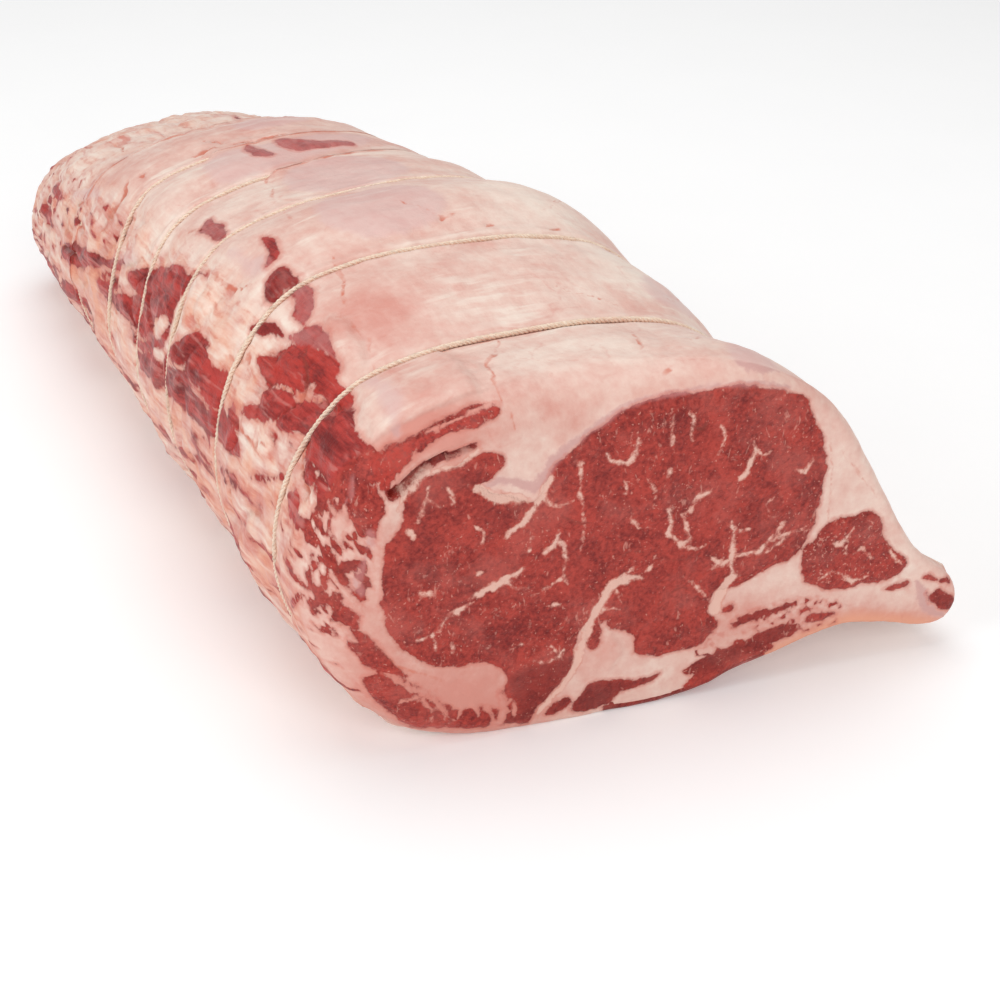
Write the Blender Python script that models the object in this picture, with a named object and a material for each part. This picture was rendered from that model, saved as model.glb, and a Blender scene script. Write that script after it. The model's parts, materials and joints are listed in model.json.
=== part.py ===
"""A raw beef rib roast, tied in loops of butcher's twine and resting rib side down.

Frame: +Z up, Y along the roast with the cut face towards -Y, origin under the middle of its box.
Run it with blender --background --python part.py, or from Blender's text editor.
"""

import math

import bmesh
import bpy
import numpy as np
from mathutils import Matrix

MM = 0.001

# Outline of the cut face, (x, z) in millimetres, clockwise as seen from the front.
OUTLINE = {
    "foot_left": (-22, 0),
    "low_left": (-50, 14),
    "side_left": (-67, 44),
    "flank_left": (-65, 80),
    "shoulder_left": (-48, 106),
    "crown_left": (-20, 117),
    "crown": (12, 121),
    "crown_right": (45, 122),
    "shoulder_right": (77, 118),
    "slope_right": (103, 102),
    "flank_right": (121, 75),
    "lip_top": (138, 44),
    "lip_tip": (155, 27),
    "lip_edge": (157, 15),
    "lip_foot": (147, 9),
    "arch_right": (114, 16),
    "arch_left": (82, 9),
    "foot_right": (44, -1),
}
POINT = {name: index for index, name in enumerate(OUTLINE)}
AXIS_X = 40  # mm, the line about which the sections are scaled and leaned
LEAN_Z = 55  # mm, the height about which they lean
CORE = (45, 55)  # mm, the point that the rings of an end face close on
LIP_SAG = 9.5  # mm by which the lip hangs lower behind the cut face than at it
SAG_AT = 80  # mm from the cut face to where it hangs all the way
SAG_FROM, SAG_TO = 45, 140  # mm across the outline, from no sag to all of it

# Sections along the roast: distance from the cut face and sideways shift in mm, width and height as
# shares of the outline, and lean in degrees, positive when the right side rises.
STATIONS = (
    (0, 0, 1.00, 1.00, 0.0),
    (60, 2, 1.01, 0.99, -7.0),
    (130, 4, 0.985, 1.08, -5.5),
    (210, 3, 0.92, 1.00, -3.5),
    (290, 4, 0.84, 0.94, -2.0),
    (370, 5, 0.775, 0.78, 0.5),
    (430, 7, 0.715, 0.65, 3.5),
    (455, 8, 0.70, 0.59, 6.0),
)
LENGTH = STATIONS[-1][0]
FACE_SKEW = -0.176  # the cut runs about 10 degrees off square
FAR_SKEW = 0.05

# Twine loops: distance from the cut face in mm, and how far each runs off square.
TWINE = ((48, -0.025), (107, -0.05), (175, 0.07), (224, 0.127), (268, 0.04), (325, 0.05))
TWINE_RADIUS = 1.1
KNOT_RADIUS = 2.1
KNOT_REACH = 5.0  # mm from a knot's middle to where the plain twine starts
KNOT_AT = POINT["slope_right"] + 0.5
CLEARANCE = 0.35  # mm between the twine and the meat
TWINE_SIDES = 6

GROOVE_DEPTH = 1.6  # mm that the twine sinks into the skin
GROOVE_HALF_WIDTH = 4.5
FLOOR_GROOVE = 2.9  # mm of room over the floor for the twine that passes under the roast
PINCH_DEPTH = 1.6  # the meat is drawn in for a finger's width on each side of the twine
PINCH_REACH = 13.0

# Radius in mm of the edge round each end, at the outline's points in order.
EDGE_RADIUS = (8, 14, 22, 22, 14, 12, 18, 15, 6, 4, 4, 3, 3, 3, 2, 2, 2, 3)
FAR_RADIUS = (8, 12, 18, 20, 20, 20, 20, 20, 18, 14, 10, 5, 3, 3, 3, 3, 4, 6)

RIB_SWELL = 1.8  # mm that each rib stands out of the underside, between two loops of twine
RIB_FROM, RIB_TO = POINT["lip_foot"], POINT["foot_right"]

# Swellings (positive) and hollows (negative) of the skin: distance from the cut face in mm, place
# round the outline, height in mm, reach along the roast in mm, reach round the outline in points.
SWELLS = (
    (78, POINT["shoulder_left"] - 0.4, -3.5, 22, 0.5),
    (140, POINT["shoulder_left"] - 0.1, -2.5, 18, 0.5),
    (150, POINT["flank_left"] - 0.2, 3.0, 22, 0.6),
    (205, POINT["flank_left"] - 0.1, -3.0, 30, 0.7),
    (265, POINT["flank_left"] + 0.1, -2.5, 26, 0.7),
    (30, POINT["side_left"] + 0.3, 2.5, 24, 0.8),
    (84, POINT["side_left"] - 0.2, 2.0, 20, 0.8),
    (18, POINT["crown_left"] - 0.1, 3.0, 18, 0.9),
    (84, POINT["crown_left"] + 0.5, 2.0, 22, 1.6),
    (142, POINT["crown"], 2.2, 24, 1.8),
    (246, POINT["crown_left"] + 0.2, 2.0, 18, 1.6),
    (300, POINT["crown"], 2.5, 20, 1.8),
    (385, POINT["crown_left"], 3.0, 26, 1.6),
    (18, POINT["shoulder_right"] + 0.2, 2.5, 14, 1.0),
    (78, POINT["slope_right"] - 0.3, 4.5, 24, 1.5),
    (141, POINT["slope_right"] - 0.3, 4.5, 26, 1.5),
    (200, POINT["slope_right"] - 0.3, 4.5, 22, 1.4),
    (246, POINT["slope_right"], 4.0, 18, 1.3),
    (297, POINT["slope_right"], 4.0, 24, 1.3),
    (385, POINT["slope_right"], 2.5, 40, 1.3),
)

AROUND = 56  # points in a ring of the meat
BETWEEN_LOOPS = 3  # rings in each stretch between two loops

# The cut under the flap of the fat cap, at the upper left of the cut face: (x, z) in mm.
SLIT_LINE = ((-47, 95), (-41, 100), (-33, 105.5), (-24, 108.5), (-17, 109.5))
SLIT_WIDTHS = (3.6, 4.2, 2.6, 1.6, 0.8)
SLIT_DEPTH = 13.0

COLOURS = {"beef": (0.62, 0.33, 0.29), "twine": (0.78, 0.68, 0.55)}
ROUGHNESS = {"beef": 0.38, "twine": 0.9}


def clear_scene():
    for obj in list(bpy.data.objects):
        bpy.data.objects.remove(obj)


def material(name):
    made = bpy.data.materials.new(name)
    made.use_nodes = True
    surface = made.node_tree.nodes["Principled BSDF"]
    surface.inputs["Base Color"].default_value = (*COLOURS[name], 1.0)
    surface.inputs["Roughness"].default_value = ROUGHNESS[name]
    surface.inputs["Metallic"].default_value = 0.0
    return made


def catmull_rom(points, places):
    """The closed curve through points, read at places counted in points."""
    first = np.floor(places).astype(int)
    u = (places - first)[:, None]
    p0, p1, p2, p3 = (points[(first + k) % len(points)] for k in (-1, 0, 1, 2))
    return 0.5 * (
        2 * p1
        + (p2 - p0) * u
        + (2 * p0 - 5 * p1 + 4 * p2 - p3) * u**2
        + (3 * p1 - p0 - 3 * p2 + p3) * u**3
    )


def along(table, distance):
    """Smooth values between the rows of a table whose first column is the distance."""
    table = np.asarray(table, float)
    at, values = table[:, 0], table[:, 1:]
    slopes = np.gradient(values, at, axis=0)
    row = int(np.clip(np.searchsorted(at, distance) - 1, 0, len(at) - 2))
    step = at[row + 1] - at[row]
    u = (distance - at[row]) / step
    return (
        (2 * u**3 - 3 * u**2 + 1) * values[row]
        + (u**3 - 2 * u**2 + u) * step * slopes[row]
        + (3 * u**2 - 2 * u**3) * values[row + 1]
        + (u**3 - u**2) * step * slopes[row + 1]
    )


def skew_at(distance):
    """How far the section at this distance runs off square."""
    rows = ((0, FACE_SKEW), *TWINE, (LENGTH, FAR_SKEW))
    return float(np.interp(distance, *np.array(rows).T))


def even_places(count):
    """Places round the outline that are evenly spaced along its length."""
    fine = np.linspace(0, len(OUTLINE), 40 * len(OUTLINE), endpoint=False)
    curve = catmull_rom(np.array(list(OUTLINE.values()), float), fine)
    steps = np.linalg.norm(np.roll(curve, -1, axis=0) - curve, axis=1)
    run = np.concatenate([[0], np.cumsum(steps)])
    wanted = np.arange(count) * run[-1] / count
    return np.interp(wanted, run, np.append(fine, len(OUTLINE)))


def inward(ring):
    """Unit normals of a closed (x, z) ring, pointing into the meat."""
    tangent = np.roll(ring, -1, axis=0) - np.roll(ring, 1, axis=0)
    normal = np.stack([tangent[:, 1], -tangent[:, 0]], axis=1)
    return normal / np.linalg.norm(normal, axis=1)[:, None]


def eased(share):
    """From 0 to 1 with a smooth start and stop."""
    share = np.clip(share, 0, 1)
    return share * share * (3 - 2 * share)


def round_gap(places, middle):
    """Distance in points from each place to a middle, the short way round."""
    half = len(OUTLINE) / 2
    return np.abs((places - middle + half) % len(OUTLINE) - half)


def rib_swell(distance, places):
    """How far the ribs stand out of the underside: one between each two loops."""
    loops = [at for at, _ in TWINE]
    pitch = (loops[-1] - loops[0]) / (len(loops) - 1)
    wave = 0.5 - 0.5 * math.cos(2 * math.pi * (distance - loops[0]) / pitch)
    middle, reach = (RIB_FROM + RIB_TO) / 2, (RIB_TO - RIB_FROM) / 2
    share = np.clip(1 - round_gap(places, middle) / reach, 0, 1)
    return RIB_SWELL * wave * np.sqrt(share)


def relief(distance, places):
    """Height of the skin over the plain section, in mm."""
    height = rib_swell(distance, places)
    for at, place, swell, reach, spread in SWELLS:
        spans = ((distance - at) / reach) ** 2 + (round_gap(places, place) / spread) ** 2
        height = height + swell * np.exp(-spans)
    for at, _ in TWINE:
        height = height - PINCH_DEPTH * math.exp(-(((distance - at) / PINCH_REACH) ** 2))
        groove = max(0.0, 1 - abs(distance - at) / GROOVE_HALF_WIDTH)
        height = height - GROOVE_DEPTH * groove
    return height


def floor_at(distance):
    """Lowest height of the meat: the floor, raised in a groove where twine passes under it."""
    nearest = min(abs(distance - at) for at, _ in TWINE)
    return FLOOR_GROOVE * max(0.0, 1 - nearest / GROOVE_HALF_WIDTH)


def section(distance, places, inset=0.0):
    """The closed (x, z) ring of the meat in mm, at a distance from the cut face."""
    shift, width, height, lean = along(STATIONS, distance)
    lean = math.radians(lean)
    points = np.array(list(OUTLINE.values()), float)
    sag = LIP_SAG * eased(distance / SAG_AT) * eased((points[:, 0] - SAG_FROM) / (SAG_TO - SAG_FROM))
    across, up = (points[:, 0] - AXIS_X) * width, points[:, 1] * height - sag
    lift = np.clip(points[:, 1] / LEAN_Z, 0, 1)
    x = across * math.cos(lean) - (up - LEAN_Z) * math.sin(lean) + AXIS_X + shift
    z = up + across * math.sin(lean) * lift
    ring = catmull_rom(np.stack([x, z], axis=1), places)
    ring = ring + inward(ring) * (inset - relief(distance, places))[:, None]
    ring[:, 1] = np.maximum(ring[:, 1], floor_at(distance))
    return ring


def placed(ring, distance, skew):
    """A ring of (x, z) in mm as points in space, in metres, on its slanting plane."""
    y = distance + skew * ring[:, 0]
    return np.stack([ring[:, 0], y, ring[:, 1]], axis=1) * MM


def rounded(radius, distance):
    """How far an edge of this radius draws the skin in, at a distance from the end."""
    share = np.clip(1 - distance / np.maximum(radius, 1e-6), 0, 1)
    return radius * (1 - np.sqrt(1 - share**2))


def end_distances(reach, count):
    """Distances from an end at which the rings round its edge lie, close together at the end."""
    return [reach * (1 - math.cos(math.pi / 2 * k / count)) for k in range(count)]


def ring_distances():
    """Distances from the cut face at which the meat has a ring."""
    stops = [at + offset for at, _ in TWINE for offset in (-GROOVE_HALF_WIDTH, 0, GROOVE_HALF_WIDTH)]
    ends = [max(EDGE_RADIUS), *stops, LENGTH - max(FAR_RADIUS)]
    distances = end_distances(max(EDGE_RADIUS), 4) + ends
    for start, stop in zip(ends[:-1], ends[1:]):
        if stop - start > 2 * GROOVE_HALF_WIDTH:
            distances += list(np.linspace(start, stop, BETWEEN_LOOPS + 2)[1:-1])
    distances += [LENGTH - d for d in end_distances(max(FAR_RADIUS), 4)]
    return sorted(set(round(d, 4) for d in distances))


def inset_at(distance, places):
    """How far the rounding of the two ends draws the skin in, in mm."""
    radii = np.array([EDGE_RADIUS, FAR_RADIUS], float).T
    near, far = catmull_rom(radii, places).T
    return rounded(near, distance) + rounded(far, LENGTH - distance)


def closing_rings(ring, distance, skew, shares):
    """Smaller and smaller copies of an end's last ring, in the plane of that end."""
    core = np.array(CORE) * (1, ring[:, 1].max() / 122)
    return [placed(core + (ring - core) * share, distance, skew) for share in shares]


def mesh_object(name, vertices, faces, finish):
    mesh = bpy.data.meshes.new(name)
    mesh.from_pydata([tuple(v) for v in vertices], [], faces)
    mesh.materials.append(finish)
    made = bpy.data.objects.new(name, mesh)
    bpy.context.scene.collection.objects.link(made)
    return made


def bridged(rings, closed):
    """Vertices and faces of rings joined in order; an open chain is capped at both ends."""
    count = len(rings[0])
    vertices = np.concatenate(rings)
    last = len(rings) if closed else len(rings) - 1
    faces = []
    for row in range(last):
        here, there = row * count, (row + 1) % len(rings) * count
        for k in range(count):
            after = (k + 1) % count
            faces.append((here + k, here + after, there + after, there + k))
    if not closed:
        faces.append(tuple(reversed(range(count))))
        faces.append(tuple(range((len(rings) - 1) * count, len(rings) * count)))
    return vertices, faces


def outward(made):
    """Points the faces outwards and shades the piece smooth, apart from its sharp edges."""
    edit = bmesh.new()
    edit.from_mesh(made.data)
    bmesh.ops.recalc_face_normals(edit, faces=edit.faces)
    edit.to_mesh(made.data)
    edit.free()
    made.data.shade_smooth()
    made.data.set_sharp_from_angle(angle=math.radians(40))


def slit_cutter():
    """The wedge that is cut out under the flap of the fat cap."""
    line = np.array(SLIT_LINE, float)
    across = np.gradient(line, axis=0)
    across = np.stack([-across[:, 1], across[:, 0]], axis=1)
    across /= np.linalg.norm(across, axis=1)[:, None]
    half = np.array(SLIT_WIDTHS)[:, None] / 2
    mouth = np.concatenate([line + across * half, (line - across * half)[::-1]])
    floor = np.concatenate([line, line[::-1]]) * 0.98 + mouth * 0.02
    start, stop = -SLIT_DEPTH, SLIT_DEPTH
    rings = [placed(mouth, start, FACE_SKEW), placed(mouth, 0, FACE_SKEW), placed(floor, stop, FACE_SKEW)]
    cutter = mesh_object("slit_cutter", *bridged(rings, closed=False), None)
    outward(cutter)
    cutter.hide_render = True
    cutter.display_type = "WIRE"
    return cutter


def beef(finish):
    """The meat: one closed body with a rounded front edge, loops pressed in, and an arched underside."""
    places = even_places(AROUND)
    rings = []
    for distance in ring_distances():
        ring = section(distance, places, inset_at(distance, places))
        rings.append((ring, distance, skew_at(distance)))
    front = closing_rings(*rings[0], shares=(0.4, 0.8))
    far = closing_rings(*rings[-1], shares=(0.75, 0.35))
    body = [placed(*ring) for ring in rings]
    made = mesh_object("beef", *bridged([*front, *body, *far], closed=False), finish)
    outward(made)
    slit = made.modifiers.new("slit", "BOOLEAN")
    slit.operation = "DIFFERENCE"
    slit.object = slit_cutter()
    return made


def hull(points):
    """The convex hull of (x, z) points, clockwise: the way that taut twine takes round them."""
    order = sorted(map(tuple, points))
    chains = []
    for run in (order, order[::-1]):
        chain = []
        for p in run:
            while len(chain) > 1 and turn(chain[-2], chain[-1], p) >= 0:
                chain.pop()
            chain.append(p)
        chains.append(chain[:-1])
    return np.array(chains[0] + chains[1])


def turn(a, b, c):
    """Above zero where the way from a through b to c turns left."""
    return (b[0] - a[0]) * (c[1] - a[1]) - (b[1] - a[1]) * (c[0] - a[0])


def with_knot(path, knot):
    """The path with extra points on the side nearest to a knot, and each point's radius."""
    after = np.roll(path, -1, axis=0)
    middles = (path + after) / 2
    side = int(np.argmin(np.linalg.norm(middles - knot, axis=1)))
    middle, way = middles[side], after[side] - path[side]
    way = way / np.linalg.norm(way)
    offsets = np.array([-1, -0.55, 0, 0.55, 1]) * KNOT_REACH
    radii = np.array([TWINE_RADIUS, 0.8 * KNOT_RADIUS, KNOT_RADIUS, 0.8 * KNOT_RADIUS, TWINE_RADIUS])
    keep = np.linalg.norm(path - middle, axis=1) > KNOT_REACH
    order = np.concatenate([np.arange(side + 1, len(path)), np.arange(side + 1)])
    kept = path[[k for k in order if keep[k]]]
    points = np.concatenate([kept, middle + offsets[:, None] * way])
    return points, np.concatenate([np.full(len(kept), TWINE_RADIUS), radii])


def twine_loop(name, distance, skew, finish):
    """One taut loop of twine, tied on the hidden right side. It spans the arch straight."""
    places = even_places(AROUND)
    ring = section(distance, places, inset_at(distance, places))
    knot = section(distance, np.array([KNOT_AT, KNOT_AT + 0.01, KNOT_AT + 0.02]), 0.0)[0]
    path, radii = with_knot(hull(ring), knot)
    ahead = np.roll(path, -1, axis=0) - path
    ahead /= np.linalg.norm(ahead, axis=1)[:, None]
    behind = np.roll(ahead, 1, axis=0)
    out = np.stack([-ahead[:, 1], ahead[:, 0]], axis=1) + np.stack([-behind[:, 1], behind[:, 0]], axis=1)
    out /= (1 + (ahead * behind).sum(axis=1))[:, None]
    along_roast = np.array([-skew, 1, 0]) / math.hypot(1, skew)
    rings = []
    for point, miter, radius in zip(path, out, radii):
        middle = point + miter * (1.15 * radius + CLEARANCE - 0.15 * TWINE_RADIUS)
        centre = placed(middle[None], distance, skew)[0]
        lift = np.array([miter[0], skew * miter[0], miter[1]])
        angles = 2 * np.pi * (np.arange(TWINE_SIDES) + 0.5) / TWINE_SIDES
        ring3 = centre + radius * MM * (np.cos(angles)[:, None] * lift + np.sin(angles)[:, None] * along_roast)
        rings.append(ring3)
    made = mesh_object(name, *bridged(rings, closed=True), finish)
    outward(made)
    return made


def stand_on_origin(pieces):
    """Moves every piece so that the origin lies under the middle of the whole box."""
    corners = np.concatenate([[v.co[:] for v in piece.data.vertices] for piece in pieces])
    low, high = corners.min(axis=0), corners.max(axis=0)
    shift = Matrix.Translation((-(low[0] + high[0]) / 2, -(low[1] + high[1]) / 2, -low[2]))
    for obj in bpy.data.objects:
        obj.data.transform(shift)


def main():
    clear_scene()
    meat, cotton = material("beef"), material("twine")
    pieces = [beef(meat)]
    for number, (distance, skew) in enumerate(TWINE, start=1):
        pieces.append(twine_loop(f"twine_{number}", distance, skew, cotton))
    stand_on_origin(pieces)


main()
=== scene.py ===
"""The looks of a raw beef rib roast: its marbled cut face, fat cap and twine, in a plain studio.

Lengths inside the classes are in millimetres in the roast's own frame, which starts at the cut face,
and RoastForm.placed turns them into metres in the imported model's frame. The skin has a map of its own:
the distance from the cut face, and the way round the outline counted from the crown, with the left
side negative.
"""

import json
import logging
import math
from dataclasses import dataclass, field
from enum import Enum
from typing import Sequence

import bpy
import numpy as np
from mathutils import Matrix, Vector
from mathutils.geometry import delaunay_2d_cdt

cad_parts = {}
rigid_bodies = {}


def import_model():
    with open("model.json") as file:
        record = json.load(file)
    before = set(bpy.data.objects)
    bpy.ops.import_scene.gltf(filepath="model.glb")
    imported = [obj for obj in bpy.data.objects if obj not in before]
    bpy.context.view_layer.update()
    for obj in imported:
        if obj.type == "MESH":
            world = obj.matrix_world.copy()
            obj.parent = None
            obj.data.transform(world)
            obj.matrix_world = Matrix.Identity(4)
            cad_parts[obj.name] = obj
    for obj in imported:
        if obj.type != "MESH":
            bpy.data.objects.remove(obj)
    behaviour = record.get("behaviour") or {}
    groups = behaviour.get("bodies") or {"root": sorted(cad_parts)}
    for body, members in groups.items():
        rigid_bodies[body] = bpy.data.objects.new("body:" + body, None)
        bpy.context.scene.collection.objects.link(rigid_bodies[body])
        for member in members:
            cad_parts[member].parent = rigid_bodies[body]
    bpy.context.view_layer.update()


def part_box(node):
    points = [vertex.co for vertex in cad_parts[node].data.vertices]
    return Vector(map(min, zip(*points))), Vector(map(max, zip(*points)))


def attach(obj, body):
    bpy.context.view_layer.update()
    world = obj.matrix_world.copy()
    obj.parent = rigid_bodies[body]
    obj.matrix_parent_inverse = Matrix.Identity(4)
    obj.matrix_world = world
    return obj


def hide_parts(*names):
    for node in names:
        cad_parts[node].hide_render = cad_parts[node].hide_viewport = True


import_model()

LOG = logging.getLogger("rib_roast")
MM = 0.001
FAR_OUT = -9.0  # mm, the depth given to points that lie nowhere near an outline

Array = np.ndarray
Colour = tuple[float, float, float]
Triple = tuple[float, float, float]
Points = tuple[tuple[float, ...], ...]


class Tissue(Enum):
    """What a patch or a strand of the surface is made of."""

    LEAN = "lean"
    FAT = "fat"
    MEMBRANE = "membrane"
    DARK = "dark"
    FRESH = "fresh"
    # grooves, and lines in front of the twine, coloured darker as painted shade
    CREASE = "crease"
    SEAM = "seam"


# ------------------------------------------------------------------------- small numeric tools


def eased(share: Array) -> Array:
    """From 0 to 1 with a smooth start and stop."""
    share = np.clip(share, 0, 1)
    return share * share * (3 - 2 * share)


def closed_curve(points: Array, places: Array) -> Array:
    """Reads the closed Catmull-Rom curve through some points.

    Args:
        points: the curve's points, one a row.
        places: where to read it, counted in points.

    Returns:
        One row for each place.
    """
    first = np.floor(places).astype(int)
    u = (places - first)[:, None]
    p0, p1, p2, p3 = (points[(first + k) % len(points)] for k in (-1, 0, 1, 2))
    return 0.5 * (
        2 * p1
        + (p2 - p0) * u
        + (2 * p0 - 5 * p1 + 4 * p2 - p3) * u**2
        + (3 * p1 - p0 - 3 * p2 + p3) * u**3
    )


def lumps(points: Array, size: float, seed: int, octaves: int = 1) -> Array:
    """Smooth noise about zero, from -1 to 1.

    Args:
        points: positions, one a row, in any unit.
        size: the length of the largest lumps, in that unit.
        seed: which noise it is.
        octaves: how many layers there are, each twice as fine and half as high as the last.

    Returns:
        One value for each point.
    """
    table = np.random.default_rng(seed).normal(size=(4096, points.shape[1]))
    table /= np.linalg.norm(table, axis=1)[:, None]
    primes = np.array((73856093, 19349663, 83492791))[: points.shape[1]]
    total, height, reach = np.zeros(len(points)), 1.0, 0.0
    for octave in range(octaves):
        p = points / size * 2**octave + 31.7 * (octave + 1)
        cell = np.floor(p).astype(np.int64)
        u = eased(p - cell)
        for corner in np.ndindex(*(2,) * points.shape[1]):
            index = np.bitwise_xor.reduce((cell + corner) * primes, axis=1) & 4095
            weight = np.prod(np.where(np.array(corner) == 1, u, 1 - u), axis=1)
            total += height * weight * ((p - cell - corner) * table[index]).sum(axis=1)
        reach += height
        height *= 0.5
    return np.clip(1.7 * total / reach, -1, 1)


def wander(points: Array, size: float, seeds: Sequence[int], octaves: int = 1) -> Array:
    """Noise along each axis of a map, with one seed for each axis, to move its points about."""
    return np.stack([lumps(points, size, seed, octaves) for seed in seeds], axis=1)


def line_gaps(points: Array, a: Array, b: Array) -> tuple[Array, Array]:
    """How far points lie from a line between two ends, and how far along it the nearest place is."""
    way = b - a
    share = np.clip((points - a) @ way / max(float(way @ way), 1e-9), 0, 1)
    return np.linalg.norm(points - a - share[:, None] * way, axis=1), share


def outline_gaps(points: Array, outline: Array) -> tuple[Array, Array]:
    """How far points lie from a closed outline, and whether they are inside it."""
    nearest, inside = np.full(len(points), np.inf), np.zeros(len(points), bool)
    for a, b in zip(outline, np.roll(outline, -1, axis=0)):
        nearest = np.minimum(nearest, line_gaps(points, a, b)[0])
        if b[1] != a[1]:
            crosses = (a[1] > points[:, 1]) != (b[1] > points[:, 1])
            edge = a[0] + (points[:, 1] - a[1]) * (b - a)[0] / (b - a)[1]
            inside ^= crosses & (points[:, 0] < edge)
    return nearest, inside


def near_to(points: Array, shape: Array) -> Array:
    """Whether points lie near the box round a shape; the others are as good as far out."""
    low, high = shape.min(axis=0) + FAR_OUT, shape.max(axis=0) - FAR_OUT
    return ((points > low) & (points < high)).all(axis=1)


@dataclass(frozen=True)
class Patch:
    """A closed outline of one tissue, on the cut face or on the skin's map."""

    tissue: Tissue
    outline: Points
    rise: float = 0.0  # how far its surface stands up
    edge: float = 4.0  # how far in from its border it reaches that height
    fineness: int = 4  # straight pieces between two points of the outline

    def depth(self, points: Array) -> Array:
        """How far points lie inside the outline, in millimetres; negative outside it."""
        places = np.arange(0, len(self.outline), 1 / self.fineness)
        outline = closed_curve(np.array(self.outline, float), places)
        near, depth = near_to(points, outline), np.full(len(points), FAR_OUT)
        nearest, inside = outline_gaps(points[near], outline)
        nearest = np.minimum(nearest, -FAR_OUT)
        depth[near] = np.where(inside, nearest, -nearest)
        return depth


@dataclass(frozen=True)
class Strand:
    """A tapering line of one tissue: its points, each with a half width."""

    tissue: Tissue
    points: Points
    rise: float = 0.0
    edge: float = 1.0

    def depth(self, points: Array) -> Array:
        """How far points lie inside the line, in millimetres; negative outside it."""
        line = np.array(self.points, float)
        near, depth = near_to(points, line[:, :2]), np.full(len(points), FAR_OUT)
        here = points[near]
        best = np.full(len(here), FAR_OUT)
        for a, b in zip(line[:-1], line[1:]):
            gap, share = line_gaps(here, a[:2], b[:2])
            best = np.maximum(best, a[2] + share * (b[2] - a[2]) - gap)
        depth[near] = best
        return depth


@dataclass(frozen=True)
class Scraps:
    """A zone of torn trimming, where bits of one tissue lie among the other."""

    tissue: Tissue
    outline: Points
    sparse: float = 0.2  # from -1, all covered, to 1, none
    size: float = 4.0
    drawn: float = 1.0  # how far the bits are drawn out along the first axis
    seed: int = 51
    rise: float = 0.5
    edge: float = 2.0

    def depth(self, points: Array) -> Array:
        """How far points lie inside a bit, in millimetres; negative outside it."""
        zone = Patch(self.tissue, self.outline).depth(points)
        noise = lumps(points / (self.drawn, 1.0), self.size, self.seed, 2)
        return np.minimum(zone, (noise * 1.6 - self.sparse) * self.size * 0.8)


Feature = Patch | Strand | Scraps


@dataclass
class Reading:
    """Depths of each tissue, the extra height and the blush of the fat, at some points."""

    depths: dict[Tissue, Array]
    height: Array
    blush: Array

    @classmethod
    def of(
        cls, points: Array, features: Sequence[Feature], blots: Points, plain: float
    ) -> "Reading":
        """Reads the features of one surface.

        Args:
            points: places on the surface's own map.
            features: what shows on it. A later lean patch or fat strand wins over an earlier one.
            blots: middles, reaches and amounts of the places where the fat is pinker or paler.
            plain: the blush of the fat elsewhere.

        Returns:
            What was read.
        """
        depths = {tissue: np.full(len(points), FAR_OUT) for tissue in Tissue}
        height = np.zeros(len(points))
        for feature in features:
            depth = feature.depth(points)
            if feature.rise:
                height += feature.rise * eased(depth / feature.edge)
            if feature.tissue is Tissue.FAT:
                depths[Tissue.LEAN] = np.minimum(depths[Tissue.LEAN], -depth)
            depths[feature.tissue] = np.maximum(depths[feature.tissue], depth)
        blush = np.full(len(points), plain)
        for u, v, reach_u, reach_v, amount in blots:
            spans = ((points[:, 0] - u) / reach_u) ** 2 + ((points[:, 1] - v) / reach_v) ** 2
            blush += amount * np.exp(-spans)
        return cls(depths, height, blush)


# ------------------------------------------------------------------------- node graphs


@dataclass
class Wire:
    """One output of a node. Python's operators on it add Math nodes."""

    graph: "Graph"
    socket: bpy.types.NodeSocket

    def math(self, operation: str, *others: "Wire | float") -> "Wire":
        """Adds a Math node on this value and some others."""
        values = dict(enumerate((self, *others)))
        return self.graph.node("ShaderNodeMath", {"operation": operation}, values)

    def __add__(self, other: "Wire | float") -> "Wire":
        """This plus another."""
        return self.math("ADD", other)

    __radd__ = __add__

    def __sub__(self, other: "Wire | float") -> "Wire":
        """This less another."""
        return self.math("SUBTRACT", other)

    def __rsub__(self, other: float) -> "Wire":
        """A number less this."""
        return (self * -1) + other

    def __mul__(self, other: "Wire | float") -> "Wire":
        """This times another."""
        return self.math("MULTIPLY", other)

    __rmul__ = __mul__

    def __truediv__(self, other: "Wire | float") -> "Wire":
        """This divided by another."""
        return self.math("DIVIDE", other)

    def most(self, other: "Wire | float") -> "Wire":
        """The larger of this and another."""
        return self.math("MAXIMUM", other)

    def step(self, low: float, high: float) -> "Wire":
        """Eases from 0 to 1 as this goes from low to high."""
        values = {"Value": self, "From Min": low, "From Max": high}
        return self.graph.node("ShaderNodeMapRange", {"interpolation_type": "SMOOTHSTEP"}, values)


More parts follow.
